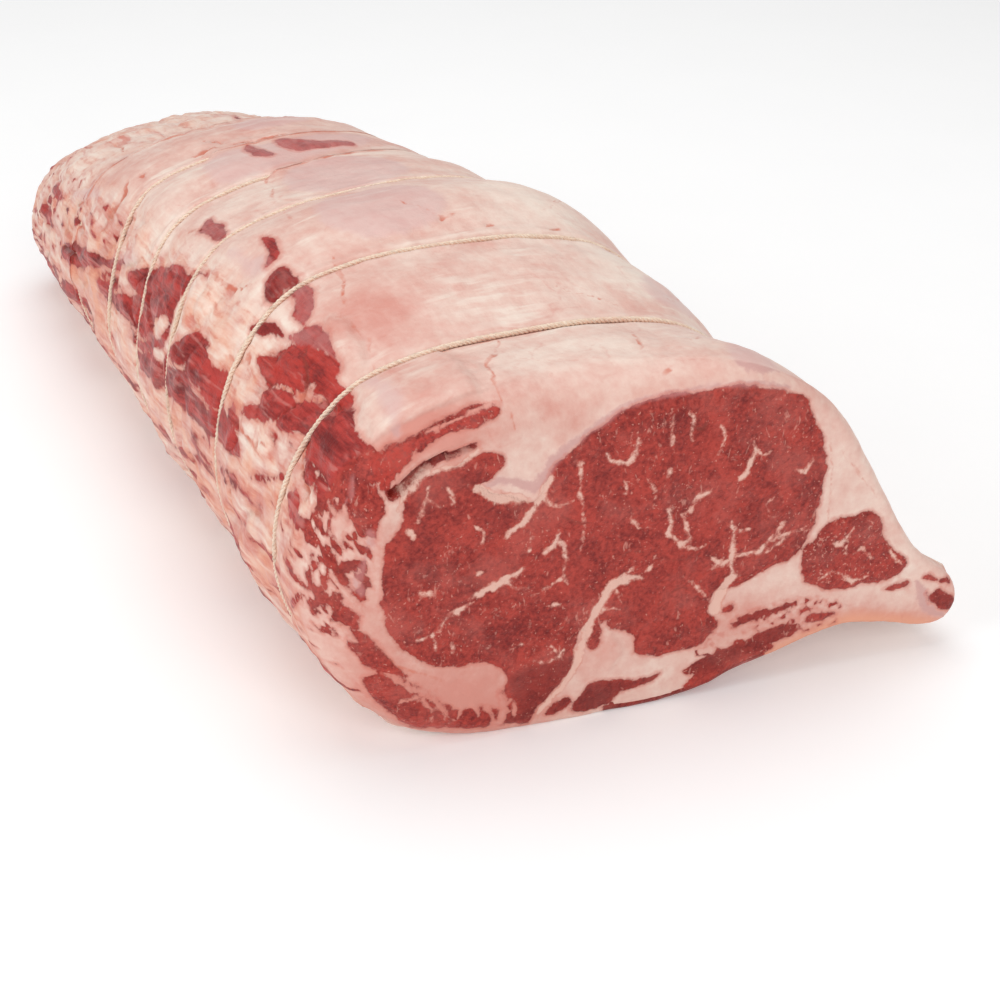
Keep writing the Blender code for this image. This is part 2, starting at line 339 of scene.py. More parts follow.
class Graph:
    """A node tree that is written as expressions."""

    def __init__(self, tree: bpy.types.NodeTree) -> None:
        """Takes over an empty tree."""
        self.tree = tree

    def node(
        self,
        kind: str,
        settings: dict[str, object] | None = None,
        values: dict[int | str, object] | None = None,
        output: int | str = 0,
    ) -> Wire:
        """Adds a node.

        Args:
            kind: the node's type.
            settings: its own properties, set first.
            values: its sockets' values or links, by name or number.
            output: the output that is wanted.

        Returns:
            That output, as a wire.
        """
        made = self.tree.nodes.new(kind)
        for name, value in (settings or {}).items():
            setattr(made, name, value)
        for name, value in (values or {}).items():
            socket = made.inputs[name]
            if isinstance(value, Wire):
                self.tree.links.new(value.socket, socket)
            elif isinstance(value, (list, tuple)) and len(value) == 3 and socket.type == "RGBA":
                socket.default_value = (*value, 1.0)
            else:
                socket.default_value = value
        return Wire(self, made.outputs[output]) if made.outputs else Wire(self, None)

    def also(self, wire: Wire, output: int | str) -> Wire:
        """Another output of the node that a wire comes from."""
        return Wire(self, wire.socket.node.outputs[output])

    def vector(self, operation: str, *values: object) -> Wire:
        """Adds a Vector Math node."""
        settings = {"operation": operation}
        return self.node("ShaderNodeVectorMath", settings, dict(enumerate(values)), "Vector")

    def scaled(self, vector: Wire, factor: Wire) -> Wire:
        """A vector times a number."""
        values = {"Vector": vector, "Scale": factor}
        return self.node("ShaderNodeVectorMath", {"operation": "SCALE"}, values, "Vector")


class Finish(Graph):
    """A material written as expressions on places in millimetres."""

    def __init__(self, name: str) -> None:
        """Starts a material with nothing in it."""
        self.material = bpy.data.materials.new(name)
        self.material.use_nodes = True
        self.material.node_tree.nodes.clear()
        super().__init__(self.material.node_tree)
        place = self.node("ShaderNodeTexCoord", output="Object")
        self.place = self.stretched(place, (1 / MM, 1 / MM, 1 / MM))

    def attribute(self, name: str) -> Wire:
        """The value of a piece's own attribute."""
        return self.node("ShaderNodeAttribute", {"attribute_name": name}, output="Fac")

    def stretched(self, vector: Wire, scale: Triple) -> Wire:
        """A vector scaled along each axis."""
        return self.vector("MULTIPLY", vector, scale)

    def noise(
        self,
        size: float,
        detail: float = 2.0,
        roughness: float = 0.5,
        at: Wire | None = None,
        seed: float = 0.0,
    ) -> Wire:
        """Noise from 0 to 1.

        Args:
            size: the length of its lumps in millimetres.
            detail: how many finer layers lie over them.
            roughness: how strong those layers are.
            at: where to read it, if not at the piece's own places.
            seed: which noise it is.

        Returns:
            The noise.
        """
        vector = at or self.place
        if seed:
            vector = self.vector("ADD", vector, (seed, 2 * seed, -seed))
        values = {"Vector": vector, "Scale": 1 / size, "Detail": detail, "Roughness": roughness}
        return self.node("ShaderNodeTexNoise", {"noise_dimensions": "3D"}, values, "Fac")

    def warped(self, amount: float, size: float) -> Wire:
        """Places moved about by up to an amount, in lumps of a size, both in millimetres."""
        values = {"Vector": self.place, "Scale": 1 / size, "Detail": 2.0}
        push = self.node("ShaderNodeTexNoise", {"noise_dimensions": "3D"}, values, "Color")
        push = self.vector("MULTIPLY_ADD", push, (2 * amount,) * 3, (-amount,) * 3)
        return self.vector("ADD", self.place, push)

    def cells(self, size: float, feature: str, at: Wire, output: str = "Distance") -> Wire:
        """A pattern of cells of a size in millimetres, with distances as shares of that size."""
        values = {"Vector": at, "Scale": 1 / size}
        return self.node("ShaderNodeTexVoronoi", {"feature": feature}, values, output)

    def blend(self, share: Wire | float, a: object, b: object) -> Wire:
        """Mixes two colours."""
        settings = {"data_type": "RGBA", "clamp_factor": True}
        return self.node("ShaderNodeMix", settings, {0: share, 6: a, 7: b}, 2)

    def bump(self, height: Wire, depth: float) -> Wire:
        """A Bump node: the height runs from 0 to 1 over a depth in millimetres."""
        values = {"Height": height, "Distance": depth * MM, "Strength": 1.0}
        return self.node("ShaderNodeBump", {}, values, "Normal")

    def surface(self, values: dict[int | str, object]) -> bpy.types.Material:
        """Ends the material in one Principled shader."""
        shader = self.node("ShaderNodeBsdfPrincipled", {}, values, "BSDF")
        self.node("ShaderNodeOutputMaterial", {}, {"Surface": shader})
        return self.material


def from_srgb(red: float, green: float, blue: float) -> Colour:
    """The linear colour of an 8-bit one."""
    shares = (red / 255, green / 255, blue / 255)
    return tuple(c / 12.92 if c <= 0.04045 else ((c + 0.055) / 1.055) ** 2.4 for c in shares)


# ------------------------------------------------------------------------- the roast's form


@dataclass
class RoastForm:
    """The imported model's shape: a closed outline lofted along the roast, with loops pressed into it."""

    outline: Points = (
        (-22, 0), (-50, 14), (-67, 44), (-65, 80), (-48, 106), (-20, 117), (12, 121), (45, 122),
        (77, 118), (103, 102), (121, 75), (138, 44), (155, 27), (157, 15), (147, 9), (114, 16),
        (82, 9), (44, -1),
    )
    crown: int = 6  # the outline's point from which the way round is counted
    axis_x: float = 40.0  # what the sections widen and lean about
    lean_z: float = 55.0
    sag: float = 9.5  # how much lower the lip hangs behind the cut face
    sag_at: float = 80.0
    sag_across: tuple[float, float] = (45.0, 140.0)
    # Distance from the cut face, sideways shift, width, height, and lean in degrees.
    stations: Points = (
        (0, 0, 1.00, 1.00, 0.0), (60, 2, 1.01, 0.99, -7.0), (130, 4, 0.985, 1.08, -5.5),
        (210, 3, 0.92, 1.00, -3.5), (290, 4, 0.84, 0.94, -2.0), (370, 5, 0.775, 0.78, 0.5),
        (430, 7, 0.715, 0.65, 3.5), (455, 8, 0.70, 0.59, 6.0),
    )
    face_skew: float = -0.176
    far_skew: float = 0.05
    loops: Points = (
        (48, -0.025), (107, -0.05), (175, 0.07), (224, 0.127), (268, 0.04), (325, 0.05),
    )
    groove: float = 1.6  # how deep the twine lies in the meat
    groove_half: float = 4.5
    floor_groove: float = 2.9  # room under the meat for the twine
    pinch: float = 1.6  # how far the twine draws the meat in on both sides
    pinch_reach: float = 13.0
    edge_radius: tuple[float, ...] = (8, 14, 22, 22, 14, 12, 18, 15, 6, 4, 4, 3, 3, 3, 2, 2, 2, 3)
    far_radius: tuple[float, ...] = (8, 12, 18, 20, 20, 20, 20, 20, 18, 14, 10, 5, 3, 3, 3, 3, 4, 6)
    rib_swell: float = 1.8
    rib_span: tuple[float, float] = (14.0, 17.0)
    # Distance from the cut face, place round the outline, height, and reach both ways.
    swells: Points = (
        (78, 3.6, -3.5, 22, 0.5), (140, 3.9, -2.5, 18, 0.5), (150, 2.8, 3.0, 22, 0.6),
        (205, 2.9, -3.0, 30, 0.7), (265, 3.1, -2.5, 26, 0.7), (30, 2.3, 2.5, 24, 0.8),
        (84, 1.8, 2.0, 20, 0.8), (18, 4.9, 3.0, 18, 0.9), (84, 5.5, 2.0, 22, 1.6),
        (142, 6.0, 2.2, 24, 1.8), (246, 5.2, 2.0, 18, 1.6), (300, 6.0, 2.5, 20, 1.8),
        (385, 5.0, 3.0, 26, 1.6), (18, 8.2, 2.5, 14, 1.0), (78, 8.7, 4.5, 24, 1.5),
        (141, 8.7, 4.5, 26, 1.5), (200, 8.7, 4.5, 22, 1.4), (246, 9.0, 4.0, 18, 1.3),
        (297, 9.0, 4.0, 24, 1.3), (385, 9.0, 2.5, 40, 1.3),
    )
    shift: Triple = (-43.711096, -217.205241, 0.0)
    low_from: float = 206.0  # the way round, to the right, at which the underside starts
    low_left: float = 46.0  # how much of it lies to the left of the place opposite the crown

    def __post_init__(self) -> None:
        """Measures the way round the outline once."""
        count = len(self.outline)
        self.fine = np.linspace(0, count, 80 * count, endpoint=False)
        curve = closed_curve(np.array(self.outline, float), self.fine)
        steps = np.linalg.norm(np.roll(curve, -1, axis=0) - curve, axis=1)
        self.run = np.concatenate([[0], np.cumsum(steps)])
        self.round = float(self.run[-1])

    @property
    def length(self) -> float:
        """The length of the roast."""
        return float(self.stations[-1][0])

    def place_at(self, way: Array) -> Array:
        """Places round the outline, in points, from the way round in millimetres from the crown."""
        places = np.append(self.fine, len(self.outline))
        start = np.interp(self.crown, places, self.run)
        return np.interp((np.asarray(way) + start) % self.round, self.run, places)

    def is_low(self, way: Array) -> Array:
        """Whether ways round the outline lie on the underside."""
        return (way > self.low_from) | (way < self.low_left - self.round / 2)

    def skew_at(self, distance: float) -> float:
        """How far the section at a distance runs off square."""
        rows = np.array(((0, self.face_skew), *self.loops, (self.length, self.far_skew)))
        return float(np.interp(distance, *rows.T))

    def station_at(self, distance: float) -> Array:
        """Shift, width, height and lean at a distance, smooth between the stations."""
        table = np.array(self.stations, float)
        at, values = table[:, 0], table[:, 1:]
        slopes = np.gradient(values, at, axis=0)
        row = int(np.clip(np.searchsorted(at, distance) - 1, 0, len(at) - 2))
        step = at[row + 1] - at[row]
        u = (distance - at[row]) / step
        return (
            (2 * u**3 - 3 * u**2 + 1) * values[row]
            + (u**3 - 2 * u**2 + u) * step * slopes[row]
            + (3 * u**2 - 2 * u**3) * values[row + 1]
            + (u**3 - u**2) * step * slopes[row + 1]
        )

    def gap(self, places: Array, middle: float) -> Array:
        """Points between each place and a middle, the short way round."""
        half = len(self.outline) / 2
        return np.abs((places - middle + half) % len(self.outline) - half)

    def relief(self, distance: float, places: Array) -> Array:
        """Height of the skin over the plain section."""
        at = [loop[0] for loop in self.loops]
        pitch = (at[-1] - at[0]) / (len(at) - 1)
        wave = 0.5 - 0.5 * math.cos(2 * math.pi * (distance - at[0]) / pitch)
        middle, reach = sum(self.rib_span) / 2, (self.rib_span[1] - self.rib_span[0]) / 2
        height = self.rib_swell * wave * np.sqrt(np.clip(1 - self.gap(places, middle) / reach, 0, 1))
        for s, place, swell, along, around in self.swells:
            away = ((distance - s) / along) ** 2 + (self.gap(places, place) / around) ** 2
            height = height + swell * np.exp(-away)
        for s in at:
            height = height - self.pinch * math.exp(-(((distance - s) / self.pinch_reach) ** 2))
            height = height - self.groove * max(0.0, 1 - abs(distance - s) / self.groove_half)
        return height

    def floor_at(self, distance: float) -> float:
        """Lowest height of the meat at a distance: the floor, or the room for twine over it."""
        nearest = min(abs(distance - s) for s, _ in self.loops)
        return self.floor_groove * max(0.0, 1 - nearest / self.groove_half)

    def section(self, distance: float, places: Array, rounded: bool = True) -> Array:
        """The closed (x, z) ring of the meat at a distance from the cut face.

        Args:
            distance: how far from the cut face.
            places: where to read it, in points round the outline.
            rounded: whether the rounding of the two ends draws it in.

        Returns:
            One row for each place.
        """
        shift, width, height, lean = self.station_at(distance)
        lean = math.radians(lean)
        points = np.array(self.outline, float)
        low, high = self.sag_across
        hang = self.sag * eased(distance / self.sag_at) * eased((points[:, 0] - low) / (high - low))
        across, up = (points[:, 0] - self.axis_x) * width, points[:, 1] * height - hang
        lift = np.clip(points[:, 1] / self.lean_z, 0, 1)
        x = across * math.cos(lean) - (up - self.lean_z) * math.sin(lean) + self.axis_x + shift
        corners = np.stack([x, up + across * math.sin(lean) * lift], axis=1)
        ring = closed_curve(corners, places)
        tangent = closed_curve(corners, places + 0.02) - ring
        inward = np.stack([tangent[:, 1], -tangent[:, 0]], axis=1)
        inward /= np.linalg.norm(inward, axis=1)[:, None]
        inset = self.inset(distance, places) if rounded else 0.0
        ring = ring + inward * (inset - self.relief(distance, places))[:, None]
        ring[:, 1] = np.maximum(ring[:, 1], self.floor_at(distance))
        return ring

    def inset(self, distance: float, places: Array) -> Array:
        """How far the rounding of the two ends draws the skin in."""
        radii = closed_curve(np.array([self.edge_radius, self.far_radius], float).T, places)
        total = np.zeros(len(places))
        for radius, gap in zip(radii.T, (distance, self.length - distance)):
            share = np.clip(1 - gap / np.maximum(radius, 1e-6), 0, 1)
            total += radius * (1 - np.sqrt(1 - share**2))
        return total

    def solid(self, ring: Array, distance: float, skew: float) -> Array:
        """A ring of (x, z) as (x, y, z) on its slanting plane, still in millimetres."""
        return np.stack([ring[:, 0], distance + skew * ring[:, 0], ring[:, 1]], axis=1)

    def placed(self, points: Array) -> Array:
        """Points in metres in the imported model's frame."""
        return (np.asarray(points) + self.shift) * MM


# ------------------------------------------------------------------------- what shows on each surface


@dataclass
class CutFace:
    """The front cut: lean muscles, the fat seams between and through them, and the rim of trimmed fat.

    Its map is (x, z) on the plane of the cut.
    """

    lean: tuple[Points, ...] = (
        ((-49, 72), (-49, 78), (-44, 82), (-41, 90), (-41, 95), (-36, 100), (-25, 103), (-17, 106),
         (-11, 105), (-9, 101), (-13, 97), (-17, 94), (-8, 90), (1, 86), (4.5, 93), (8, 98.8),
         (12.5, 101.5), (18.5, 106.8), (25, 111), (37, 115.4), (47, 116.6), (56, 115.2), (66, 116),
         (76, 113.8), (86, 110), (92, 107), (95, 99), (99, 92), (101, 80), (100, 68), (98, 58),
         (93, 49), (84, 45.5), (70, 40), (64, 40), (62, 33), (66, 27), (61, 21), (53, 19),
         (44, 19.5), (36, 22), (36, 28), (31, 32), (24, 36), (18, 36), (15, 28), (14, 20), (8, 13),
         (2, 7), (-1, 2), (-5, 3), (-5, 10), (-9, 16), (-8, 22), (-12, 28), (-18, 30), (-30, 31),
         (-38, 36), (-45, 44), (-49, 54), (-50, 62)),
        ((102, 57.5), (107, 60), (114, 60), (119, 60.5), (123, 58), (125.5, 49.5), (129.5, 43.5),
         (135, 38.5), (134.5, 34), (127, 31.5), (118, 31.5), (109.5, 31.5), (101.5, 34.5),
         (96.5, 37.5), (95, 44.5), (96, 51.5), (99.5, 53.5)),
        ((19, 36), (22, 38), (24, 34), (24, 28), (21, 26), (19, 30)),
    )
    strips: tuple[Points, ...] = (
        ((-52, 110.5), (-45.5, 112.5), (-39, 115), (-28, 117), (-22, 119.5), (-12, 121.5),
         (-12, 117.5), (-19.5, 115.5), (-28, 114), (-34, 111), (-39.5, 106.5), (-44, 100.5),
         (-46, 98), (-51, 103)),
        ((-48, 109), (-53, 107), (-58, 100), (-55, 89), (-51, 83), (-47, 85), (-46.5, 94),
         (-49, 99), (-46, 104)),
        ((-65, 65), (-60.5, 60.5), (-57, 54.5), (-56.5, 50), (-61, 54), (-65, 60.5)),
        ((-61, 47), (-57, 50.5), (-51.5, 45.5), (-46.5, 37.5), (-41, 30), (-47, 32), (-54, 36.5)),
        ((-58, 31), (-51, 33), (-41, 28), (-34, 21), (-28, 15.5), (-23.5, 12.5), (-17, 13),
         (-10.5, 10), (-4.5, 5.5), (-5.5, 3), (-20, 5), (-37.5, 8.5), (-44, 12), (-51.5, 21.5)),
        ((-65, 79), (-60, 73), (-58, 63.5), (-62, 66), (-66, 73)),
        ((67, 31.5), (68, 33.6), (70.5, 34), (72, 32.3), (70.7, 30.3)),
        ((95.5, 25.5), (96.3, 26.4), (101.4, 26.6), (100.2, 25.5)),
        ((98.4, 21.2), (99, 23.7), (104.2, 23.7), (110, 22.3), (107.9, 20.6), (101.9, 20)),
        ((127, 28.2), (131.4, 29.6), (137, 29), (137, 27.1), (131.7, 26.8)),
        ((54.6, 3.5), (56.6, 7.1), (63.5, 11.2), (70, 13), (78, 15.4), (85, 15.4), (87, 13),
         (78.6, 10.5), (72, 7.3), (66.3, 4.6), (60.5, 2.4)),
        ((142, 30), (145.5, 30.5), (148.5, 28), (152, 28.2), (153.3, 25.1), (147.7, 26.8)),
    )
    scraps: tuple[tuple[Points, float, float], ...] = (
        (((-10.5, 17), (-5.5, 13), (-5, 8), (-9, 10.5)), -0.2, 2.4),
        (((-66, 102), (-56, 100), (-50, 89.5), (-50, 77), (-53, 62), (-60, 50), (-72, 56),
         (-72, 90)), -0.05, 3.6),
        (((70, 25), (76, 29), (92, 31), (104, 29), (112, 24), (104, 21), (84, 25)), 0.35, 2.2),
        (((64, 26), (70, 20), (84, 24), (98, 22), (112, 18), (96, 17), (76, 16), (58, 14)), 0.5,
         2.6),
    )
    deep_strips: tuple[Points, ...] = (
        ((5, 4), (9, 9), (14, 9), (13, 5)),
        ((14, 3), (18, 10), (22, 13.5), (30, 13), (38, 11), (46, 12), (42, 9), (32, 7), (26, 3)),
        ((54.3, 10.9), (58.3, 13.2), (65.7, 16.3), (74, 17.2), (81.4, 20.2), (88, 21.6),
         (95.8, 20.8), (95.2, 17.7), (88.7, 15), (85.3, 14.6), (77.6, 13.6), (71, 10.8),
         (63.6, 8.7), (56, 8.6)),
        ((71, 24.3), (75, 28), (82.5, 29.2), (91, 29.7), (95, 29.8), (91, 27.4), (84, 27),
         (79, 26.2), (74.4, 24.5)),
        ((144, 23.8), (146.6, 21.8), (149, 23.7), (153, 21), (157, 17.5), (156, 13.9), (151, 14.8),
         (147.8, 18), (145.3, 20.7)),
    )
    seams: tuple[Points, ...] = (
        ((68.5, 66, 0.6), (69.8, 58.5, 1.0), (69, 52.5, 1.4), (70, 45.5, 1.2), (66, 39, 2.4),
         (64.7, 34, 3.0)),
        ((71.5, 53, 0.8), (79, 52.4, 0.9), (82, 57, 0.8), (86, 60.7, 0.7), (86.7, 62.3, 0.5)),
        ((82, 56, 0.7), (89.5, 58.3, 0.7), (97, 57.7, 0.5)),
        ((81.6, 52.7, 0.4), (87, 56, 0.6), (88.8, 56.2, 0.3)),
        ((60, 55, 0.5), (64.5, 51.3, 0.9), (66, 53, 0.5)),
        ((104.7, 51.3, 0.6), (108.8, 49.2, 1.1), (111.4, 52.2, 0.7), (113.7, 55.4, 0.4)),
        ((111.4, 52.2, 0.7), (110.8, 45.2, 0.4)),
        ((115, 45.3, 0.4), (116.7, 46.7, 0.8), (121.5, 41.3, 0.4)),
        ((102, 37, 0.5), (107, 39.6, 0.5), (114.4, 34.5, 0.8), (120.4, 35, 0.4)),
        ((127, 45.6, 0.4), (130.4, 39.5, 0.5), (134, 36.9, 0.4)),
        ((74.6, 96, 0.4), (74.2, 90, 0.8), (72.6, 84, 0.9), (70, 81.7, 1.5)),
        ((48.6, 112.4, 0.4), (53, 107, 0.6), (52.3, 99, 0.6)),
        ((90, 81.4, 0.5), (93.5, 80, 0.8), (96, 85.5, 0.5)), ((84.8, 103, 0.4), (85.5, 99.8, 0.5)),
        ((62, 37, 0.3), (57, 43.5, 0.5), (52.5, 49, 0.3)), ((85, 58, 0.4), (86, 62, 0.5)),
        ((70, 62, 0.4), (75, 62, 0.3)),
        ((37, 51, 1.2), (32, 51.5, 1.8), (27, 50.5, 1.9), (24, 45, 1.7), (21, 40, 1.6),
         (19, 33, 1.5), (17, 27, 1.6), (16, 21, 1.8), (11, 14, 1.4), (5, 8, 1.2), (2, 4, 1)),
        ((30, 52, 1), (34, 56, 0.5)), ((36, 52, 0.8), (40, 54, 0.6), (42, 59, 0.5)),
        ((-21, 55, 0.3), (-17, 56.5, 1.3), (-13, 58, 1.9), (-9, 60, 1.5), (-5, 61.5, 0.9),
         (-1, 64, 0.2)), ((-20, 53, 0.6), (-25, 51, 0.9), (-28, 51, 0.5)),
        ((24, 99, 0.4), (26, 96, 0.6), (28, 95, 0.7), (31, 94.5, 0.8), (34, 97, 0.9),
         (35, 101, 0.7), (34, 104, 0.4)), ((53, 73, 0.7), (56, 78, 0.9), (60, 79.5, 0.6)),
        ((46, 75, 0.9), (47, 70, 0.8), (46, 66, 0.8), (49, 63, 0.8), (51, 61, 1.2), (54, 63, 0.7),
         (53, 66, 0.5)), ((51, 72, 0.6), (52, 67, 0.6)),
        ((30.5, 88, 0.6), (31, 84, 0.8), (29, 82.5, 0.4)),
        ((45.2, 110, 0.4), (46.2, 105, 0.5), (45.8, 98.5, 0.5)), ((45.5, 90, 0.5), (45, 86, 0.3)),
        ((9, 74, 0.8), (7, 69, 1.1), (4, 67, 0.6)),
        ((9, 70, 0.9), (11, 66, 0.8), (12, 63, 0.7), (10.5, 60, 0.6), (11, 57, 0.8), (12, 54, 0.3)),
        ((16, 97, 0.8), (15.5, 86, 0.7), (17, 80, 0.5), (17, 72, 0.4), (16.5, 66, 0.4)),
        ((6, 94, 1.2), (3, 87, 1.4), (0, 83, 1.3), (-3, 79, 0.9), (-8, 76.5, 0.7), (-9, 75, 0.4)),
        ((0, 74, 0.6), (-1, 69, 0.6)),
        ((-33, 98, 0.7), (-34, 94, 0.6), (-36, 90, 0.6), (-37, 86, 0.7)),
        ((-27, 96, 0.5), (-26, 91, 0.6)), ((-40, 84, 0.9), (-38, 81, 0.9)),
        ((-38, 43, 0.4), (-33, 44, 0.6), (-32, 42, 0.5), (-32, 38, 0.3)),
        ((-31, 45, 0.5), (-27, 50, 0.5)), ((-26, 40, 0.4), (-27, 36, 0.3)),
        ((1, 27, 0.4), (5, 25.5, 0.6), (9, 26, 0.6), (12, 29, 0.4)), ((6, 32, 0.3), (9, 28, 0.4)),
        ((8, 47, 1.2), (8.4, 47, 1.2)), ((-18, 64, 0.9), (-17, 64, 0.9)),
        ((-7, 33, 0.5), (-3, 34, 0.4)), ((-37, 61, 0.9), (-34, 60, 1.1), (-32, 58, 0.5)),
        ((-18, 94.4, 1.2), (-12, 89.9, 1.9), (-4.3, 88.1, 1.6), (0.3, 86, 0.6)),
        ((-16.4, 107.6, 0.6), (-22.4, 103.8, 1.0), (-28.3, 102.8, 1.1), (-32.8, 102.4, 1.1),
         (-37.2, 99.5, 1.2), (-41, 94.5, 1.0), (-43, 90.8, 0.6)),
        ((27, 50.5, 0.8), (30, 46, 0.4), (31, 42, 0.2)),
        ((21, 40, 0.8), (26, 42, 0.4), (30, 41, 0.2)),
        ((69.5, 53, 0.8), (65, 50, 0.5), (61, 50, 0.2)),
        ((74, 92, 0.5), (78, 89, 0.4), (82, 90, 0.2)),
        ((51, 61, 0.7), (56, 58, 0.4), (60, 60, 0.2)),
        ((-9, 60, 0.8), (-6, 56, 0.4), (-1, 55, 0.2)), ((11, 57, 0.6), (6, 54, 0.3), (0, 52, 0.2)),
        ((3, 87, 0.8), (8, 83, 0.5), (13, 84, 0.2)), ((-34, 94, 0.5), (-29, 90, 0.3)),
        ((38, 88, 0.2), (41, 82, 0.5), (40, 77, 0.2)),
        ((62, 104, 0.2), (64, 98, 0.4), (62, 92, 0.2)),
        ((-20, 82, 0.2), (-16, 78, 0.5), (-17, 72, 0.2)),
        ((84, 74, 0.2), (80, 70, 0.4), (82, 65, 0.2)),
        ((33, 74, 0.2), (36, 70, 0.5), (41, 69, 0.2)),
    )
    silverskin: tuple[Points, ...] = (
        ((-16.5, 94, 0.8), (-10.5, 95.5, 1.4), (-4.5, 93.5, 1.7), (1, 91, 2.0), (3.3, 93, 2.0),
         (6.3, 99, 1.9), (11, 103, 1.7), (17.7, 107.7, 1.5), (23, 111, 1.4), (30.6, 114.5, 1.3),
         (37, 116, 1.2), (60, 116.8, 1.1), (74, 115.4, 1.1), (86, 111.5, 0.9)),
        ((-51.5, 85, 1.5), (-52, 81, 1.7)), ((-53.5, 76, 1.2), (-56, 70, 1.6), (-57, 66.5, 1.2)),
        ((-57, 107, 0.3), (-57.5, 99, 0.9), (-60, 96, 0.3)), ((-57, 69, 1.2), (-55, 64, 1.2)),
        ((17, 30, 0.7), (18, 26, 0.7)),
        ((140, 28, 1.0), (142.5, 24, 2.2), (144.5, 18, 2.2), (149, 13.5, 1.4), (153, 12, 0.7)),
    )
    # Grooves that are also painted darker: painted shade. Each point is x, z and half width.
    shaded_creases: tuple[Points, ...] = (
        ((-6, 121, 0.3), (-7, 116, 0.4), (-6, 112, 0.3)),
        ((-63, 80, 0.3), (-62, 72, 0.5), (-64, 60, 0.4), (-61, 50, 0.3)),
        ((-52, 45, 0.3), (-44, 34, 0.4), (-30, 26, 0.3)),
        ((53, 103.6, 0.4), (56, 101.8, 0.9), (58, 105, 0.4)),
        ((101.6, 91, 0.1), (103.4, 78, 0.25), (103.8, 60, 0.1)),
        ((106, 86, 0.1), (114, 74.6, 0.2), (122, 64.5, 0.1)),
        ((9, 80, 0.2), (15, 76, 0.45), (20, 75, 0.2)),
        ((46, 56, 0.2), (53, 55, 0.5), (58, 56.5, 0.2)),
        ((-30, 70, 0.2), (-26, 66, 0.45), (-24, 60, 0.2)),
        ((28, 60, 0.2), (33, 62, 0.4), (38, 61, 0.2)),
        ((82, 46, 0.1), (90, 52, 0.3), (97, 60, 0.1)),
        ((44, 40, 0.2), (50, 44, 0.45), (56, 44, 0.2)),
    )
    curls: tuple[Points, ...] = (
        ((-45.5, 94.5, 1.2), (-43.7, 91, 2.0), (-46.5, 87.5, 2.2), (-48.5, 82, 1.8),
         (-50, 70.5, 1.5), (-50.5, 58.5, 1.5), (-49, 49.5, 1.6), (-44.5, 39.5, 1.6),
         (-35.5, 33, 1.2)), ((-64, 97, 1.0), (-61, 91, 2.6), (-61.5, 85, 1.6)),
        ((25, 36, 0.9), (27, 30, 2.2), (29, 24, 3.6), (27, 18, 2.0)),
        ((-64.5, 73.5, 0.8), (-60.5, 65, 1.4), (-55.5, 58.5, 1.6), (-52, 52.5, 1.2)),
        ((-65, 55, 1.0), (-61, 51.5, 1.3), (-57, 46, 0.4)),
        ((-65.5, 50.5, 1.0), (-62, 42, 1.7), (-58.5, 34, 1.5), (-55, 26.5, 0.8)),
        ((-47, 32, 0.5), (-41, 26, 0.9), (-36, 23, 0.9), (-32, 18.5, 0.9), (-29.5, 14.5, 0.7),
         (-28, 8.5, 0.3)), ((-23.5, 14.5, 0.9), (-25, 10, 0.5), (-29, 6.5, 0.2)),
        ((-19, 14.5, 1.2), (-18, 9.5, 0.3)), ((-15.5, 13, 0.7), (-12.5, 8, 0.5), (-13, 4.5, 0.3)),
        ((-36.5, 22.5, 0.8), (-36.5, 19, 0.8), (-33.5, 15.5, 0.7), (-33.5, 10.5, 0.3)),
        ((-45, 18, 0.5), (-43.5, 21.5, 0.7), (-37.5, 22.5, 0.8)),
        ((-10.5, 15.5, 1.4), (-9, 9.5, 1.6), (-10.5, 4, 0.8)),
        ((-42, 101.5, 1.0), (-36, 106.5, 1.5), (-27, 110.5, 1.6), (-20, 112, 1.3)),
    )
    gloom: tuple[Points, ...] = (
        ((-7, 23), (4, 25), (14, 25), (12, 16), (4, 9), (-1.5, 2), (-5, 12)),
    )
    slab_edge: Points = (
        (-11, 122.5, 0.6), (-19, 122.8, 0.9), (-24, 121, 0.9), (-31, 118.6, 0.9), (-38, 115.4, 1.0),
        (-47, 113, 1.0), (-53, 108, 0.6),
    )
    slit: Points = (
        (-44.6, 96.8, 1.3), (-41.7, 97.9, 1.2), (-38.7, 100.6, 1.0), (-34.2, 104.6, 0.8),
        (-29.7, 106.6, 0.5), (-23.8, 107.9, 0.3), (-17.9, 109, 0.1),
    )
    slit_depth: float = 9.0
    peach: Points = (
        (58, 4), (82, 13), (100, 18), (114, 21.5), (130, 18), (146, 13), (153, 9), (140, 4),
        (114, 10), (84, 3), (60, -2),
    )
    blots: Points = (
        (-20, 14, 22, 16, 0.75), (-52, 40, 16, 30, 0.4), (-34, 116, 20, 10, 0.75),
        (2, 108, 24, 12, 0.12), (60, 28, 40, 8, 0.15), (20, 24, 10, 12, 0.2), (100, 20, 30, 6, 0.3),
        (140, 15, 16, 6, 0.25), (112, 78, 14, 24, -0.12), (86, 44, 20, 8, -0.04),
        (40, 118, 40, 6, 0.12),
    )
    plain_blush: float = 0.5

